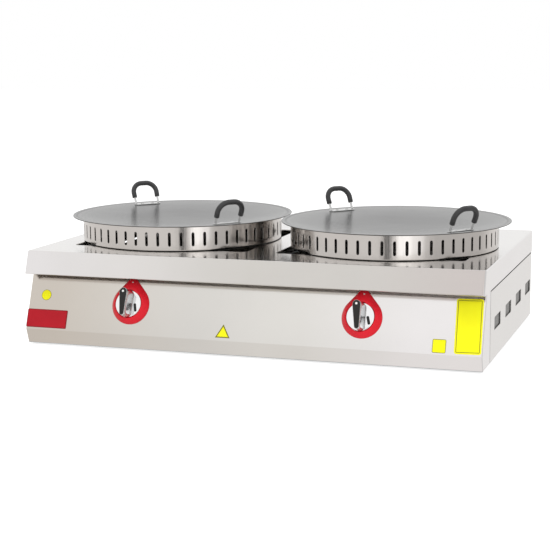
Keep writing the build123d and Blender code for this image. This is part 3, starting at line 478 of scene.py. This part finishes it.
def take_modifiers(obj):
    """Turns an object's modifiers into its mesh."""
    bpy.context.view_layer.update()
    graph = bpy.context.evaluated_depsgraph_get()
    mesh = bpy.data.meshes.new_from_object(obj.evaluated_get(graph))
    obj.modifiers.clear()
    obj.data = mesh
    return mesh


def apply_modifiers(obj, smooth_angle=35.0):
    """Takes the modifiers, drops the normals that came with the solid's own mesh, then shades folds
    smooth and keeps large faces flat."""
    mesh = take_modifiers(obj)
    if "custom_normal" in mesh.attributes:
        mesh.attributes.remove(mesh.attributes["custom_normal"])
    mesh.shade_smooth()
    mesh.set_sharp_from_angle(angle=math.radians(smooth_angle))
    modify(obj, "flat_faces", "WEIGHTED_NORMAL", keep_sharp=True)
    take_modifiers(obj)


def arc(x, y, radius, start, end, steps):
    """Points along an arc from one angle to another, in degrees."""
    angles = [math.radians(start + (end - start) * k / steps) for k in range(steps + 1)]
    return [(x + radius * math.cos(a), y + radius * math.sin(a)) for a in angles]


def rounded_rect(width, height, radius, steps=6):
    x, y = width / 2 - radius, height / 2 - radius
    corners = ((x, y, 0), (-x, y, 90), (-x, -y, 180), (x, -y, 270))
    return [point for cx, cy, a in corners for point in arc(cx, cy, radius, a, a + 90, steps)]


def hull_of_two(low_y, low_r, high_y, high_r, steps=24):
    """Outline round two circles, one above the other."""
    tilt = math.degrees(math.asin((low_r - high_r) / (high_y - low_y)))
    top = arc(0, high_y, high_r, tilt, 180 - tilt, steps)
    bottom = arc(0, low_y, low_r, 180 - tilt, 360 + tilt, 2 * steps)
    return top + bottom


def in_mm(points):
    return [(x * MM, y * MM) for x, y in points]


def loop_verts(bm, points, z):
    return [bm.verts.new((x, y, z)) for x, y in points]


def bridge(bm, lower, upper):
    """Faces between two closed loops."""
    count = len(lower)
    for k in range(count):
        bm.faces.new((lower[k], lower[(k + 1) % count], upper[(k + 1) % count], upper[k]))


def stack(bm, loops, bottom=True, top=True):
    """Faces between closed loops that follow each other, with the ends closed that are asked for."""
    for lower, upper in zip(loops, loops[1:]):
        bridge(bm, lower, upper)
    if bottom:
        bm.faces.new(list(reversed(loops[0])))
    if top:
        bm.faces.new(loops[-1])


def weave(bm, rows):
    """Faces between open rows of vertices that follow each other."""
    for lower, upper in zip(rows, rows[1:]):
        for k in range(len(lower) - 1):
            bm.faces.new((lower[k], lower[k + 1], upper[k + 1], upper[k]))


def revolve(bm, profile, segments, centre=(0, 0)):
    """Turns a profile of (radius, height) points round Z. Points of radius 0 become poles."""
    rings = []
    for radius, z in profile:
        if radius == 0:
            rings.append([bm.verts.new((*centre, z))])
        else:
            points = arc(*centre, radius, 0, 360, segments)[:-1]
            rings.append(loop_verts(bm, points, z))
    for a, b in zip(rings, rings[1:]):
        for k in range(segments):
            after = (k + 1) % segments
            if len(a) == 1:
                bm.faces.new((a[0], b[k], b[after]))
            elif len(b) == 1:
                bm.faces.new((a[after], a[k], b[0]))
            else:
                bm.faces.new((a[k], b[k], b[after], a[after]))


def tube(bm, path, radii, segments):
    """A round tube along a list of points, with a radius at each and its ends closed."""
    rings = []
    up = (path[1] - path[0]).orthogonal()
    for k, point in enumerate(path):
        ahead = (path[min(k + 1, len(path) - 1)] - path[max(k - 1, 0)]).normalized()
        up = (up - ahead * up.dot(ahead)).normalized()
        aside = ahead.cross(up)
        circle = arc(0, 0, radii[k], 0, 360, segments)[:-1]
        rings.append([bm.verts.new(point + up * x + aside * y) for x, y in circle])
    stack(bm, rings)


def panel_place(x, drop, turn=0.0):
    """Local x to the right, y up the leaning panel, z out of its face, turned about z by some degrees."""
    origin = Vector((x, PANEL_TOP_Y, SKIRT)) - PANEL_UP * drop
    place = Matrix((
        (1, 0, 0, origin.x),
        (0, PANEL_UP.y, PANEL_OUT.y, origin.y),
        (0, PANEL_UP.z, PANEL_OUT.z, origin.z),
        (0, 0, 0, 1),
    ))
    return place @ Matrix.Rotation(math.radians(turn), 4, "Z")


# Hob top
def build_hob_top():
    """The folded sheet as an open skin, whose folds are rounded before it gets its thickness."""
    bm = bmesh.new()
    fold = bm.edges.layers.float.new("bevel_weight_edge")
    xs = [-HALF, -WELL_OUT, -WELL_IN, WELL_IN, WELL_OUT, HALF]
    ys = [FRONT, WELL_FRONT, WELL_BACK, BACK]
    right, back = len(xs) - 1, len(ys) - 1
    wells = (1, 3)
    grid = {}
    for i, x in enumerate(xs):
        for j, y in enumerate(ys):
            grid[i, j] = bm.verts.new((x, y, HOB_TOP))
    for i in range(right):
        for j in range(back):
            if not (j == 1 and i in wells):
                bm.faces.new((grid[i, j], grid[i + 1, j], grid[i + 1, j + 1], grid[i, j + 1]))

    outline = [(i, 0) for i in range(right)] + [(right, j) for j in range(back)]
    outline += [(i, back) for i in range(right, 0, -1)] + [(0, j) for j in range(back, 0, -1)]
    low = {}
    for spot in outline:
        x, y, _ = grid[spot].co
        low[spot] = bm.verts.new((x, y - FASCIA_LEAN if spot[1] == 0 else y, SKIRT))
    for a, b in zip(outline, outline[1:] + outline[:1]):
        face = bm.faces.new((grid[a], low[a], low[b], grid[b]))
        face.material_index = 1 if a[1] == 0 and b[1] == 0 else 2
        bm.edges.get((grid[a], grid[b]))[fold] = TOP_FOLD / CORNER_FOLD
    for corner in ((0, 0), (right, 0), (0, back), (right, back)):
        bm.edges.get((grid[corner], low[corner]))[fold] = 1.0

    hem = []
    for i in range(right + 1):
        x, y, _ = low[i, 0].co
        inset = {0: HEM, right: -HEM}.get(i, 0.0)
        hem.append(bm.verts.new((x + inset, y + HEM, SKIRT)))
    for i in range(right):
        bm.faces.new((low[i, 0], hem[i], hem[i + 1], low[i + 1, 0])).material_index = 1
        bm.edges.get((low[i, 0], low[i + 1, 0]))[fold] = LIP_FOLD / CORNER_FOLD

    uprights = []
    for i in wells:
        rim = [grid[spot] for spot in ((i, 1), (i + 1, 1), (i + 1, 2), (i, 2))]
        foot = [bm.verts.new((v.co.x, v.co.y, HOB_TOP - WELL_RIM)) for v in rim]
        bridge(bm, rim, foot)
        uprights += [bm.edges.get(pair) for pair in zip(rim, foot)]
    bmesh.ops.bevel(bm, geom=uprights, offset=WELL_CORNER, segments=6, affect="EDGES", profile=0.5)
    for edge in bm.edges:
        on_top = all(abs(v.co.z - HOB_TOP) < 1e-6 for v in edge.verts)
        upright = any(abs(f.normal.z) < 0.5 for f in edge.link_faces)
        if len(edge.link_faces) == 2 and on_top and upright and edge[fold] == 0:
            edge[fold] = WELL_FOLD / CORNER_FOLD

    # The front skirt takes the fascia's painted reflection, and the side and back skirts a lighter sheet as
    # painted light
    skin = ["mirror_sheet", "fascia_sheet", "side_sheet_painted_light"]
    obj = finish_mesh("hob_top_sheet", bm, skin + ["sheet_back"] * len(skin))
    settings = {"width": CORNER_FOLD, "segments": 5, "limit_method": "WEIGHT", "use_clamp_overlap": True}
    modify(obj, "folds", "BEVEL", **settings)
    thicken(obj, len(skin))
    apply_modifiers(obj)
    stand_in(obj, "hob_top", "casing")


# Casing panels
def copy_of_node(name, new_name):
    """The solid's own mesh as one welded piece, to be worked on further."""
    bm = bmesh.new()
    bm.from_mesh(frame["nodes"][name].data)
    bm.transform(frame["nodes"][name].matrix_world)
    return finish_mesh(new_name, bm, [slot_of[name]], 30.0)


def edge_cutter(sign, depth, front, back, drop):
    """A box that takes a strip off a top edge at a side, down to a drop below the skirt."""
    xs = sorted((sign * (CASING - depth), sign * (CASING + OVERCUT)))
    spans = (xs, (front, back), (SKIRT - drop, SKIRT + OVERCUT))
    bm = bmesh.new()
    bmesh.ops.create_cube(bm, size=1.0)
    for v in bm.verts:
        v.co = [(low + high) / 2 + part * (high - low) for (low, high), part in zip(spans, v.co)]
    return finish_mesh("cutter", bm, [])


def cut_from(obj, cutters):
    """Cuts shapes out of a piece and takes the cutters away."""
    for cutter in cutters:
        modify(obj, "cut", "BOOLEAN", operation="DIFFERENCE", solver="EXACT", object=cutter)
    apply_modifiers(obj)
    for cutter in cutters:
        bpy.data.objects.remove(cutter, do_unlink=True)


def build_side_panel(side, sign):
    """The panel's top edge stops below the hob's skirt, which leaves a dark joint line there, and the
    baffles behind its vents stand closer to them, so that they catch the light. The ledge in that joint is
    painted near-black as painted shade, and the inner faces and baffles are painted a darker grey as painted
    shade."""
    panel = copy_of_node(f"side_panel_{side}", f"side_panel_sheet_{side}")
    for v in panel.data.vertices:
        if BAFFLE_NEAR < CASING - abs(v.co.x) < BAFFLE_FAR:
            v.co.x += sign * BAFFLE_SHIFT
    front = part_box(f"side_panel_{side}")[0].y
    cut_from(panel, [edge_cutter(sign, JOINT_DEPTH, front - OVERCUT, BACK - JOINT_END, JOINT_DROP)])
    panel.data.materials.append(MAT["inner_sheet_painted_shade"])
    panel.data.materials.append(MAT["dark_mark"])

    def rule(face):
        inside = CASING - abs(face.center.x) > SHEET + 0.1 * MM
        # Inner faces and baffles: darker grey painted shade
        if inside and (abs(face.normal.x) > FACING or VENT_ZONE[0] < face.center.z < VENT_ZONE[1]):
            return 1
        # Upward faces in the joint below the skirt: near-black painted shade
        in_joint_shade = face.center.z > SKIRT - 5 * MM
        return 2 if in_joint_shade and abs(face.normal.z) > FACING else 0

    paint(panel, rule)
    stand_in(panel, f"side_panel_{side}", "casing")


def build_front_panel():
    """The front panel's side flanges stop just below the hob's skirt too."""
    panel = copy_of_node("front_panel", "front_panel_sheet")
    front, back = PANEL_TOP_Y + FLANGE_FRONT, FRONT + FLANGE_BACK
    cut_from(panel, [edge_cutter(sign, FLANGE_DEPTH, front, back, FLANGE_DROP) for _, sign in SIDES])
    panel.data.materials.clear()
    panel.data.materials.append(MAT["front_sheet"])
    panel.data.materials.append(MAT["side_sheet_painted_light"])
    # Side-facing faces take the lighter sheet: painted light on the sides
    paint(panel, lambda face: int(abs(face.normal.x) > FACING))
    stand_in(panel, "front_panel", "casing")


# Collar rings
def build_ring(side):
    """The ring as an open skin: for each slot a cell of the wall and of the foot that turns inward."""
    cell = 2 * math.pi / SLOTS
    height = RING_HIGH.z - RING_LOW.z
    bm = bmesh.new()

    def vert(along, z, angle, radius=RING_R):
        turn = angle + along / RING_R
        return bm.verts.new((radius * math.cos(turn), radius * math.sin(turn), z))

    edge = RING_R * cell / 2
    columns = [-edge + (edge - SLOT_HALF) * k / 4 for k in range(5)]
    rows = [FOOT_BEND, SLOT_LOW + SLOT_HALF, (SLOT_LOW + SLOT_HIGH) / 2, SLOT_HIGH - SLOT_HALF, height]
    slot_end = arc(0, SLOT_LOW + SLOT_HALF, SLOT_HALF, 180, 360, 6)
    foot_line = columns + [s for s, _ in slot_end[1:-1]] + [-s for s in reversed(columns)]
    foot_rows = arc(RING_R - FOOT_BEND, FOOT_BEND, FOOT_BEND, 0, -90, 5) + [(RING_R - FOOT_WIDTH, 0.0)]
    for n in range(SLOTS):
        angle = math.radians(RING_TURN[side]) + n * cell
        for mirror in (1, -1):
            weave(bm, [[vert(mirror * s, z, angle) for s in columns] for z in rows])
        for base, upside_down in ((FOOT_BEND, False), (height, True)):
            lip = [(s, SLOT_LOW + SLOT_HIGH - z if upside_down else z) for s, z in slot_end]
            weave(bm, [[vert(s, base, angle) for s, _ in lip], [vert(s, z, angle) for s, z in lip]])
        weave(bm, [[vert(s, z, angle, radius) for s in foot_line] for radius, z in foot_rows])
    place = Matrix.Translation((RING_X[side], RING_Y, RING_LOW.z))
    obj = finish_mesh(f"slotted_collar_{side}", bm, ["collar_steel", "dark_mark"], 40.0, place)
    # The lowest faces of the foot are painted near-black: painted contact shadow along the ring's foot
    paint(obj, lambda face: int(face.center.z < SHEET))
    thicken(obj)
    sharp = math.radians(60)
    modify(obj, "edges", "BEVEL", width=RING_EDGE, segments=2, limit_method="ANGLE", angle_limit=sharp)
    apply_modifiers(obj, 40.0)
    stand_in(obj, f"collar_ring_{side}", f"ring_{side}")


# Pans
def dish(radius):
    """Depth of the dish below its rim at a radius."""
    return math.sqrt(DISH_R**2 - radius**2) - (DISH_R - PAN_DEPTH)


def build_pan(side):
    """A shallow dish with a narrow rim that is pressed flatter, turned in one piece."""
    rim_r = PAN_R - PAN_EDGE
    inside = [(PAN_FOLD * k / 40, -dish(PAN_FOLD * k / 40)) for k in range(41)]
    inside += [(PAN_FOLD + out * MM, up * MM - dish(PAN_FOLD)) for out, up in ((0.7, 0.22), (1.4, 0.36))]
    inside.append((rim_r - 0.4 * MM, 0.02 * MM - dish(rim_r)))
    rim = arc(rim_r, 0.05 * MM - dish(rim_r) - PAN_EDGE, PAN_EDGE, 90, -90, 8)
    outside = [(radius, z - PAN_WALL) for radius, z in reversed(inside[:-1])]
    bm = bmesh.new()
    revolve(bm, inside + rim + outside, 160)
    place = Matrix.Translation((PAN_X[side], RING_Y, RIM_Z[side]))
    obj = finish_mesh(f"pressed_pan_{side}", bm, ["pan_steel", "pan_edge_painted_shade", "pan_under"], 40.0, place)

    # The rim's outer edge and the underside beyond the burner are painted near-black as painted shade; the
    # underside over the burner keeps a plain grey
    def rule(face):
        outer = face.normal.z < -0.5 or math.hypot(face.normal.x, face.normal.y) > 0.8
        if not outer:
            return 0
        over_burner = math.hypot(face.center.x, face.center.y) < RING_R - 4 * MM
        return 2 if over_burner else 1

    paint(obj, rule)
    stand_in(obj, f"pan_{side}", f"pan_{side}")


# Pan handles
def arch_path(start, steps):
    """Points of a handle in its own plane from a height on: up one side, over the top, down the other."""
    slant = (ARCH_TOP - ARCH_FOOT) / ARCH_HEIGHT
    tilt = math.atan(slant)
    y = ARCH_HEIGHT - ARCH_CORNER
    x = ARCH_TOP - ARCH_CORNER * math.tan(math.pi / 4 + tilt / 2)
    foot = ARCH_FOOT + slant * start
    left = arc(-x, y, ARCH_CORNER, 180 + math.degrees(tilt), 90, steps)
    right = arc(x, y, ARCH_CORNER, 90, -math.degrees(tilt), steps)
    return [(-foot, start)] + left + right + [(foot, start)]


def build_handle(side, where, turn):
    """A wire arch with a rubber sleeve, on a strap that two rivets hold to the pan."""
    angle = math.radians(turn)
    lean = math.radians(HANDLE_LEAN)
    slope = math.atan2(HANDLE_FOOT_R, math.sqrt(DISH_R**2 - HANDLE_FOOT_R**2))
    out = Vector((math.cos(angle), math.sin(angle), 0))
    along = Vector((-math.sin(angle), math.cos(angle), 0))
    up = out * -math.sin(slope) + Vector((0, 0, math.cos(slope)))
    rise = out * math.sin(lean) + Vector((0, 0, math.cos(lean)))
    middle = Vector((PAN_X[side], RING_Y, RIM_Z[side] - dish(HANDLE_FOOT_R)))
    spot = middle + out * HANDLE_FOOT_R + up * HANDLE_LIFT
    foot = Matrix.Translation(spot) @ Matrix((along, up.cross(along), up)).transposed().to_4x4()

    def bent(points, radii, segments):
        bm = bmesh.new()
        tube(bm, [spot + along * x + rise * y for x, y in points], radii, segments)
        return bm

    path = arch_path(WIRE_START, 10)
    bm = bent(path, [WIRE_R] * len(path), 14)
    wire = finish_mesh(f"handle_wire_{side}_{where}", bm, ["bright_wire"], 50.0)

    first, *rest, last = arch_path(SLEEVE_START, 12)
    path = [first, (first[0], first[1] + SLEEVE_EDGE), *rest, (last[0], last[1] + SLEEVE_EDGE), last]
    radii = [SLEEVE_R - SLEEVE_EDGE] + [SLEEVE_R] * (len(path) - 2) + [SLEEVE_R - SLEEVE_EDGE]
    bm = bent(path, radii, 24)
    sleeve = finish_mesh(f"handle_sleeve_{side}_{where}", bm, ["handle_rubber"], 50.0)

    bm = bmesh.new()
    full = arc(STRAP_HALF, 0, STRAP_R, -90, 90, 10) + arc(-STRAP_HALF, 0, STRAP_R, 90, 270, 10)
    narrow_x, narrow_y = 1 - STRAP_EDGE / (STRAP_HALF + STRAP_R), 1 - STRAP_EDGE / STRAP_R
    narrow = [(x * narrow_x, y * narrow_y) for x, y in full]
    levels = ((narrow, 0.0), (full, STRAP_EDGE), (full, STRAP_THICK - STRAP_EDGE), (narrow, STRAP_THICK))
    stack(bm, [loop_verts(bm, points, z) for points, z in levels])
    strap = finish_mesh(f"handle_strap_{side}_{where}", bm, ["bright_wire"], 35.0, foot)

    bm = bmesh.new()
    for x in (-RIVET_HALF, RIVET_HALF):
        for profile in (RIVET_HEAD, RIVET_TAIL):
            revolve(bm, in_mm(profile), 24, (x, 0))
    rivets = finish_mesh(f"handle_rivets_{side}_{where}", bm, ["bright_wire"], 40.0, foot)

    for obj, kind, slot in (
        (wire, "wires", "bright_wire"), (sleeve, "sleeves", "handle_rubber"),
        (strap, "straps", "bright_wire"), (rivets, "rivets", "bright_wire"),
    ):
        stand_in(obj, f"handle_{kind}_{side}", f"pan_{side}")


# Knobs and bezels
def build_bezel(side):
    """A raised red surround: a drop-shaped outline that rises to a rounder crown round the dial."""
    place = panel_place(KNOB_X[side], KNOB_DROP)
    outline = hull_of_two(0, BEZEL_R, BEZEL_TIP_Y, BEZEL_TIP_R)
    crown = hull_of_two(0, CROWN_R, CROWN_TIP_Y, CROWN_TIP_R)
    bm = bmesh.new()
    loops = []
    for share, z, shrink in BEZEL_STEPS:
        pairs = zip(outline, crown)
        points = [(x0 + (x1 - x0) * share, y0 + (y1 - y0) * share) for (x0, y0), (x1, y1) in pairs]
        keep = [1 - shrink * MM / math.hypot(x, y) for x, y in points]
        loops.append(loop_verts(bm, [(x * k, y * k) for (x, y), k in zip(points, keep)], z * MM))
    for radius, z in BEZEL_BORE:
        factors = [radius * MM / math.hypot(x, y) for x, y in outline]
        points = [(x * factor, y * factor) for (x, y), factor in zip(outline, factors)]
        loops.append(loop_verts(bm, points, z * MM))
    stack(bm, loops + loops[:1], bottom=False, top=False)
    bezel = finish_mesh(f"knob_bezel_{side}", bm, ["red_plastic"], 40.0, place)
    stand_in(bezel, f"bezel_{side}", "casing")


def build_index(side):
    """The white dot on the bezel that the grip points at."""
    bm = bmesh.new()
    revolve(bm, in_mm(INDEX_DOT), 20)
    place = panel_place(KNOB_X[side], KNOB_DROP)
    place = place @ Matrix.Translation(INDEX_PLACE) @ Matrix.Rotation(-INDEX_SLOPE, 4, "X")
    dot = finish_mesh(f"bezel_index_{side}", bm, ["white_mark"], 40.0, place)
    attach(dot, "casing")


def grip_loops(bm, steps):
    """Outlines of the grip one above the other. Towards its foot it grows wider but no longer."""
    (foot_y, foot_r), (head_y, head_r) = GRIP_FOOT, GRIP_HEAD
    loops = []
    for grow, z, trim in steps:
        ends = (foot_y + grow, foot_r + grow - trim, head_y - grow, head_r + grow - trim)
        points = hull_of_two(*(size * MM for size in ends), 16)
        loops.append(loop_verts(bm, points, z * MM))
    return loops


def build_knob(side):
    """A chrome dial with its grip, the grip's black insert, a white dot and a dark level mark."""
    place = panel_place(KNOB_X[side], KNOB_DROP, KNOB_TURN[side])
    bm = bmesh.new()
    revolve(bm, in_mm(DIAL), 72)
    stack(bm, grip_loops(bm, GRIP_STEPS), bottom=False)
    dial = finish_mesh(f"knob_body_{side}", bm, ["chrome_dial", "grip_metal"], 40.0, place)
    paint(dial, lambda face: int(face.center.z > DIAL_FACE + 0.1 * MM))

    bm = bmesh.new()
    stack(bm, grip_loops(bm, INSERT_STEPS), bottom=False)
    insert = finish_mesh(f"knob_face_{side}", bm, ["black_plastic"], 40.0, place)

    bm = bmesh.new()
    revolve(bm, in_mm(KNOB_DOT), 24, (0, DOT_Y))
    dot = finish_mesh(f"knob_dot_{side}", bm, ["white_mark"], 40.0, place)

    bm = bmesh.new()
    lean = Matrix.Rotation(math.radians(MARK_LEAN), 2)
    upright = rounded_rect(MARK_WIDTH, MARK_LENGTH, MARK_CORNER, 5)
    points = [lean @ Vector(point) + Vector(MARK_PLACE) for point in upright]
    stack(bm, [loop_verts(bm, points, DIAL_FACE + rise) for rise in (-0.1 * MM, 0.12 * MM)], bottom=False)
    mark = finish_mesh(f"knob_level_mark_{side}", bm, ["dark_mark"], 40.0, place)

    for obj in (dial, dot, mark):
        stand_in(obj, f"knob_dial_{side}", f"knob_{side}")
    stand_in(insert, f"knob_insert_{side}", f"knob_{side}")


# Labels
def plate(name, node_name, outline, place, thick, print_name, border_name, lines):
    """A bare plate on the front panel, whose outline is a function of how far it is drawn in from the
    edge. One line is an edge of that width in millimetres, two are the sides of an inner frame line."""
    bm = bmesh.new()
    bottom = loop_verts(bm, outline(0.0), 0.0)
    side = loop_verts(bm, outline(0.0), thick * 0.7)
    insets = [thick * 0.4] + [line * MM for line in lines]
    loops = [loop_verts(bm, outline(inset), thick) for inset in insets]
    edge_colour = 1 if len(lines) == 1 else 0
    stack(bm, [bottom, side, loops[0]], top=False)
    for face in bm.faces:
        face.material_index = edge_colour
    for k, (outer, inner) in enumerate(zip(loops, loops[1:])):
        before = set(bm.faces)
        bridge(bm, outer, inner)
        for face in set(bm.faces) - before:
            face.material_index = 1 if k == len(lines) - 1 else 0
    bm.faces.new(loops[-1]).material_index = 0
    obj = finish_mesh(name, bm, [print_name, border_name], 40.0, place)
    stand_in(obj, node_name, "casing")


def rounded(width, height, radius):
    """Outline of a rounded rectangle in millimetres, by how far it is drawn in."""
    return lambda d: rounded_rect(width * MM - 2 * d, height * MM - 2 * d, max(radius * MM - d, 0.4 * MM))


def round_disc(radius):
    return lambda d: arc(0, 0, radius * MM - d, 0, 360, 48)[:-1]


def triangle(width):
    corner = width * MM / math.sqrt(3)
    return lambda d: arc(0, 0, corner - 2 * d, 90, 330, 2)


def build_labels():
    """The badge and the four labels, bare but for their borders. Places are x and drop in millimetres."""
    place = panel_place(-450.4 * MM, 102.5 * MM)
    plate("badge", "badge_plate", rounded(95.2, 40, 2.5), place, BADGE_THICK, "red_print", "dark_red", [1.8])
    for kind, outline, x, drop, lines, turn in (
        ("round", round_disc(11.6), -458.6, 50.8, [1.0], 0.0),
        ("triangle", triangle(32.5), -43, 111, [2.4], 0.0),
        ("square", rounded(27.5, 27.5, 3), 411.8, 109.6, [1.2], 0.0),
        ("tall", rounded(54, 110.5, 5), 467.9, 67.6, [3.0, 4.4], 1.2),
    ):
        names = (f"{kind}_mark", f"{kind}_label")
        place = panel_place(x * MM, drop * MM, turn)
        plate(*names, outline, place, LABEL_THICK, "yellow_print", "yellow_edge", lines)


build_hob_top()
for side, sign in SIDES:
    build_side_panel(side, sign)
build_front_panel()
for side, _ in SIDES:
    build_ring(side)
    build_pan(side)
    build_handle(side, "back", HANDLE_TURN[side])
    build_handle(side, "front", HANDLE_TURN[side] - HANDLE_APART)
    build_bezel(side)
    build_knob(side)
    build_index(side)
build_labels()


# Stage, light and camera
FLOOR_SIZE = 14.0
CARD_Y = -1.75
CARD_LOW = -0.4
CARD_HIGH = 0.65
CAMERA_PLACE = Vector((0.9772, FRONT - 2.6702, 0.6523))
CAMERA_YAW = 18.83
CAMERA_PITCH = 9.59
CAMERA_ROLL = -0.54
CAMERA_LENS = 91.75


def glow(tree, kind, colour, strength):
    node = tree.nodes.new(kind)
    node.inputs["Color"].default_value = rgb(*colour)
    node.inputs["Strength"].default_value = strength
    return node.outputs[0]


def by_ray(tree, usual, other, rays):
    """The other shader for the named kinds of ray, and the usual one for all the rest."""
    path = tree.nodes.new("ShaderNodeLightPath")
    chosen = path.outputs[rays[0]]
    for ray in rays[1:]:
        chosen = maths(tree, "MAXIMUM", chosen, path.outputs[ray])
    mix = tree.nodes.new("ShaderNodeMixShader")
    tree.links.new(chosen, mix.inputs["Fac"])
    tree.links.new(usual, mix.inputs[1])
    tree.links.new(other, mix.inputs[2])
    return mix.outputs[0]


def flat_piece(name, corners, material):
    bm = bmesh.new()
    bm.faces.new([bm.verts.new(corner) for corner in corners])
    return finish_mesh(name, bm, [material])


def build_card(name, x0, x1, strength):
    """An upright card in front of the stove that only shows in its polished faces."""
    mat, tree, out = bare_material(name)
    tree.links.new(glow(tree, "ShaderNodeEmission", (1, 1, 1), strength), out.inputs["Surface"])
    mat.cycles.emission_sampling = "NONE"
    corners = ((x0, CARD_LOW), (x1, CARD_LOW), (x1, CARD_HIGH), (x0, CARD_HIGH))
    card = flat_piece(name, [(x, CARD_Y, z) for x, z in corners], name)
    card.visible_camera = False
    card.visible_diffuse = False
    card.visible_shadow = False


def build_floor():
    """A white floor that looks a little brighter than it is lit, and isn't mirrored in the metal."""
    _, tree, out = bare_material("pale_floor")
    matt = tree.nodes.new("ShaderNodeBsdfDiffuse")
    matt.inputs["Color"].default_value = rgb(0.86, 0.86, 0.86)
    both = tree.nodes.new("ShaderNodeAddShader")
    tree.links.new(matt.outputs[0], both.inputs[0])
    tree.links.new(glow(tree, "ShaderNodeEmission", (1, 1, 1), 0.55), both.inputs[1])
    surface = by_ray(tree, matt.outputs[0], both.outputs[0], ["Is Camera Ray"])
    tree.links.new(surface, out.inputs["Surface"])
    signs = ((-1, -1), (1, -1), (1, 1), (-1, 1))
    floor = flat_piece("studio_floor", [(x * FLOOR_SIZE, y * FLOOR_SIZE, 0) for x, y in signs], "pale_floor")
    floor.visible_glossy = False


def build_world():
    """White to the camera, dimmer as a light, and with a warmer lower half in what is mirrored."""
    world = bpy.data.worlds.new("studio")
    bpy.context.scene.world = world
    world.cycles.sampling_method = "NONE"
    world.use_nodes = True
    tree = world.node_tree
    tree.nodes.clear()
    out = tree.nodes.new("ShaderNodeOutputWorld")
    lit = glow(tree, "ShaderNodeBackground", (1, 1, 1), 0.70)
    seen = glow(tree, "ShaderNodeBackground", (1, 1, 1), 1.0)
    mirrored = tree.nodes.new("ShaderNodeBackground")
    axes = split_axes(tree, tree.nodes.new("ShaderNodeTexCoord").outputs["Generated"])
    height = remap(tree, axes["Z"], (-0.05, 0.05), (0.0, 1.0))
    warm_to_white = ramp(tree, height, [(0.0, (0.90, 0.885, 0.872)), (1.0, (1, 1, 1))])
    tree.links.new(warm_to_white, mirrored.inputs["Color"])
    tree.links.new(remap(tree, axes["X"], (0.6, 0.85), (1.0, 0.72)), mirrored.inputs["Strength"])
    lit = by_ray(tree, lit, mirrored.outputs[0], ["Is Glossy Ray"])
    surface = by_ray(tree, lit, seen, ["Is Camera Ray", "Is Transmission Ray"])
    tree.links.new(surface, out.inputs["Surface"])


def build_softbox(name, location, target, size, power):
    light = bpy.data.lights.new(name, "AREA")
    light.shape = "RECTANGLE"
    light.size, light.size_y = size
    light.energy = power
    obj = bpy.data.objects.new(name, light)
    bpy.context.scene.collection.objects.link(obj)
    obj.location = location
    aim = Vector(target) - Vector(location)
    obj.rotation_euler = aim.to_track_quat("-Z", "Y").to_euler()
    obj.visible_glossy = False


def build_camera():
    """The camera that was fitted to the photograph. Its angles are in degrees."""
    yaw, pitch, roll = (math.radians(angle) for angle in (CAMERA_YAW, CAMERA_PITCH, CAMERA_ROLL))
    forward = Vector((-math.sin(yaw) * math.cos(pitch), math.cos(yaw) * math.cos(pitch), -math.sin(pitch)))
    level = Vector((math.cos(yaw), math.sin(yaw), 0))
    upright = level.cross(forward)
    right = math.cos(roll) * level + math.sin(roll) * upright
    up = -math.sin(roll) * level + math.cos(roll) * upright
    data = bpy.data.cameras.new("camera")
    data.sensor_width = 36
    data.lens = CAMERA_LENS
    data.clip_end = 100
    camera = bpy.data.objects.new("camera", data)
    bpy.context.scene.collection.objects.link(camera)
    turn = Matrix((right, up, -forward)).transposed().to_4x4()
    camera.matrix_world = Matrix.Translation(CAMERA_PLACE) @ turn
    bpy.context.scene.camera = camera


build_floor()
build_card("window_card", 0.76, 1.32, 1.6)
build_card("side_window_card", 1.32, 1.95, 1.25)
build_card("dark_card", 0.34, 0.58, 0.10)
build_world()
build_softbox("top_softbox", (0.2, -0.4, 2.4), (0, 0, 0.2), (2.6, 2.0), 31)
build_softbox("front_softbox", (1.7, -2.5, 1.5), (0, 0, 0.15), (1.8, 1.4), 20)
build_camera()
bpy.context.scene.view_settings.view_transform = "Standard"
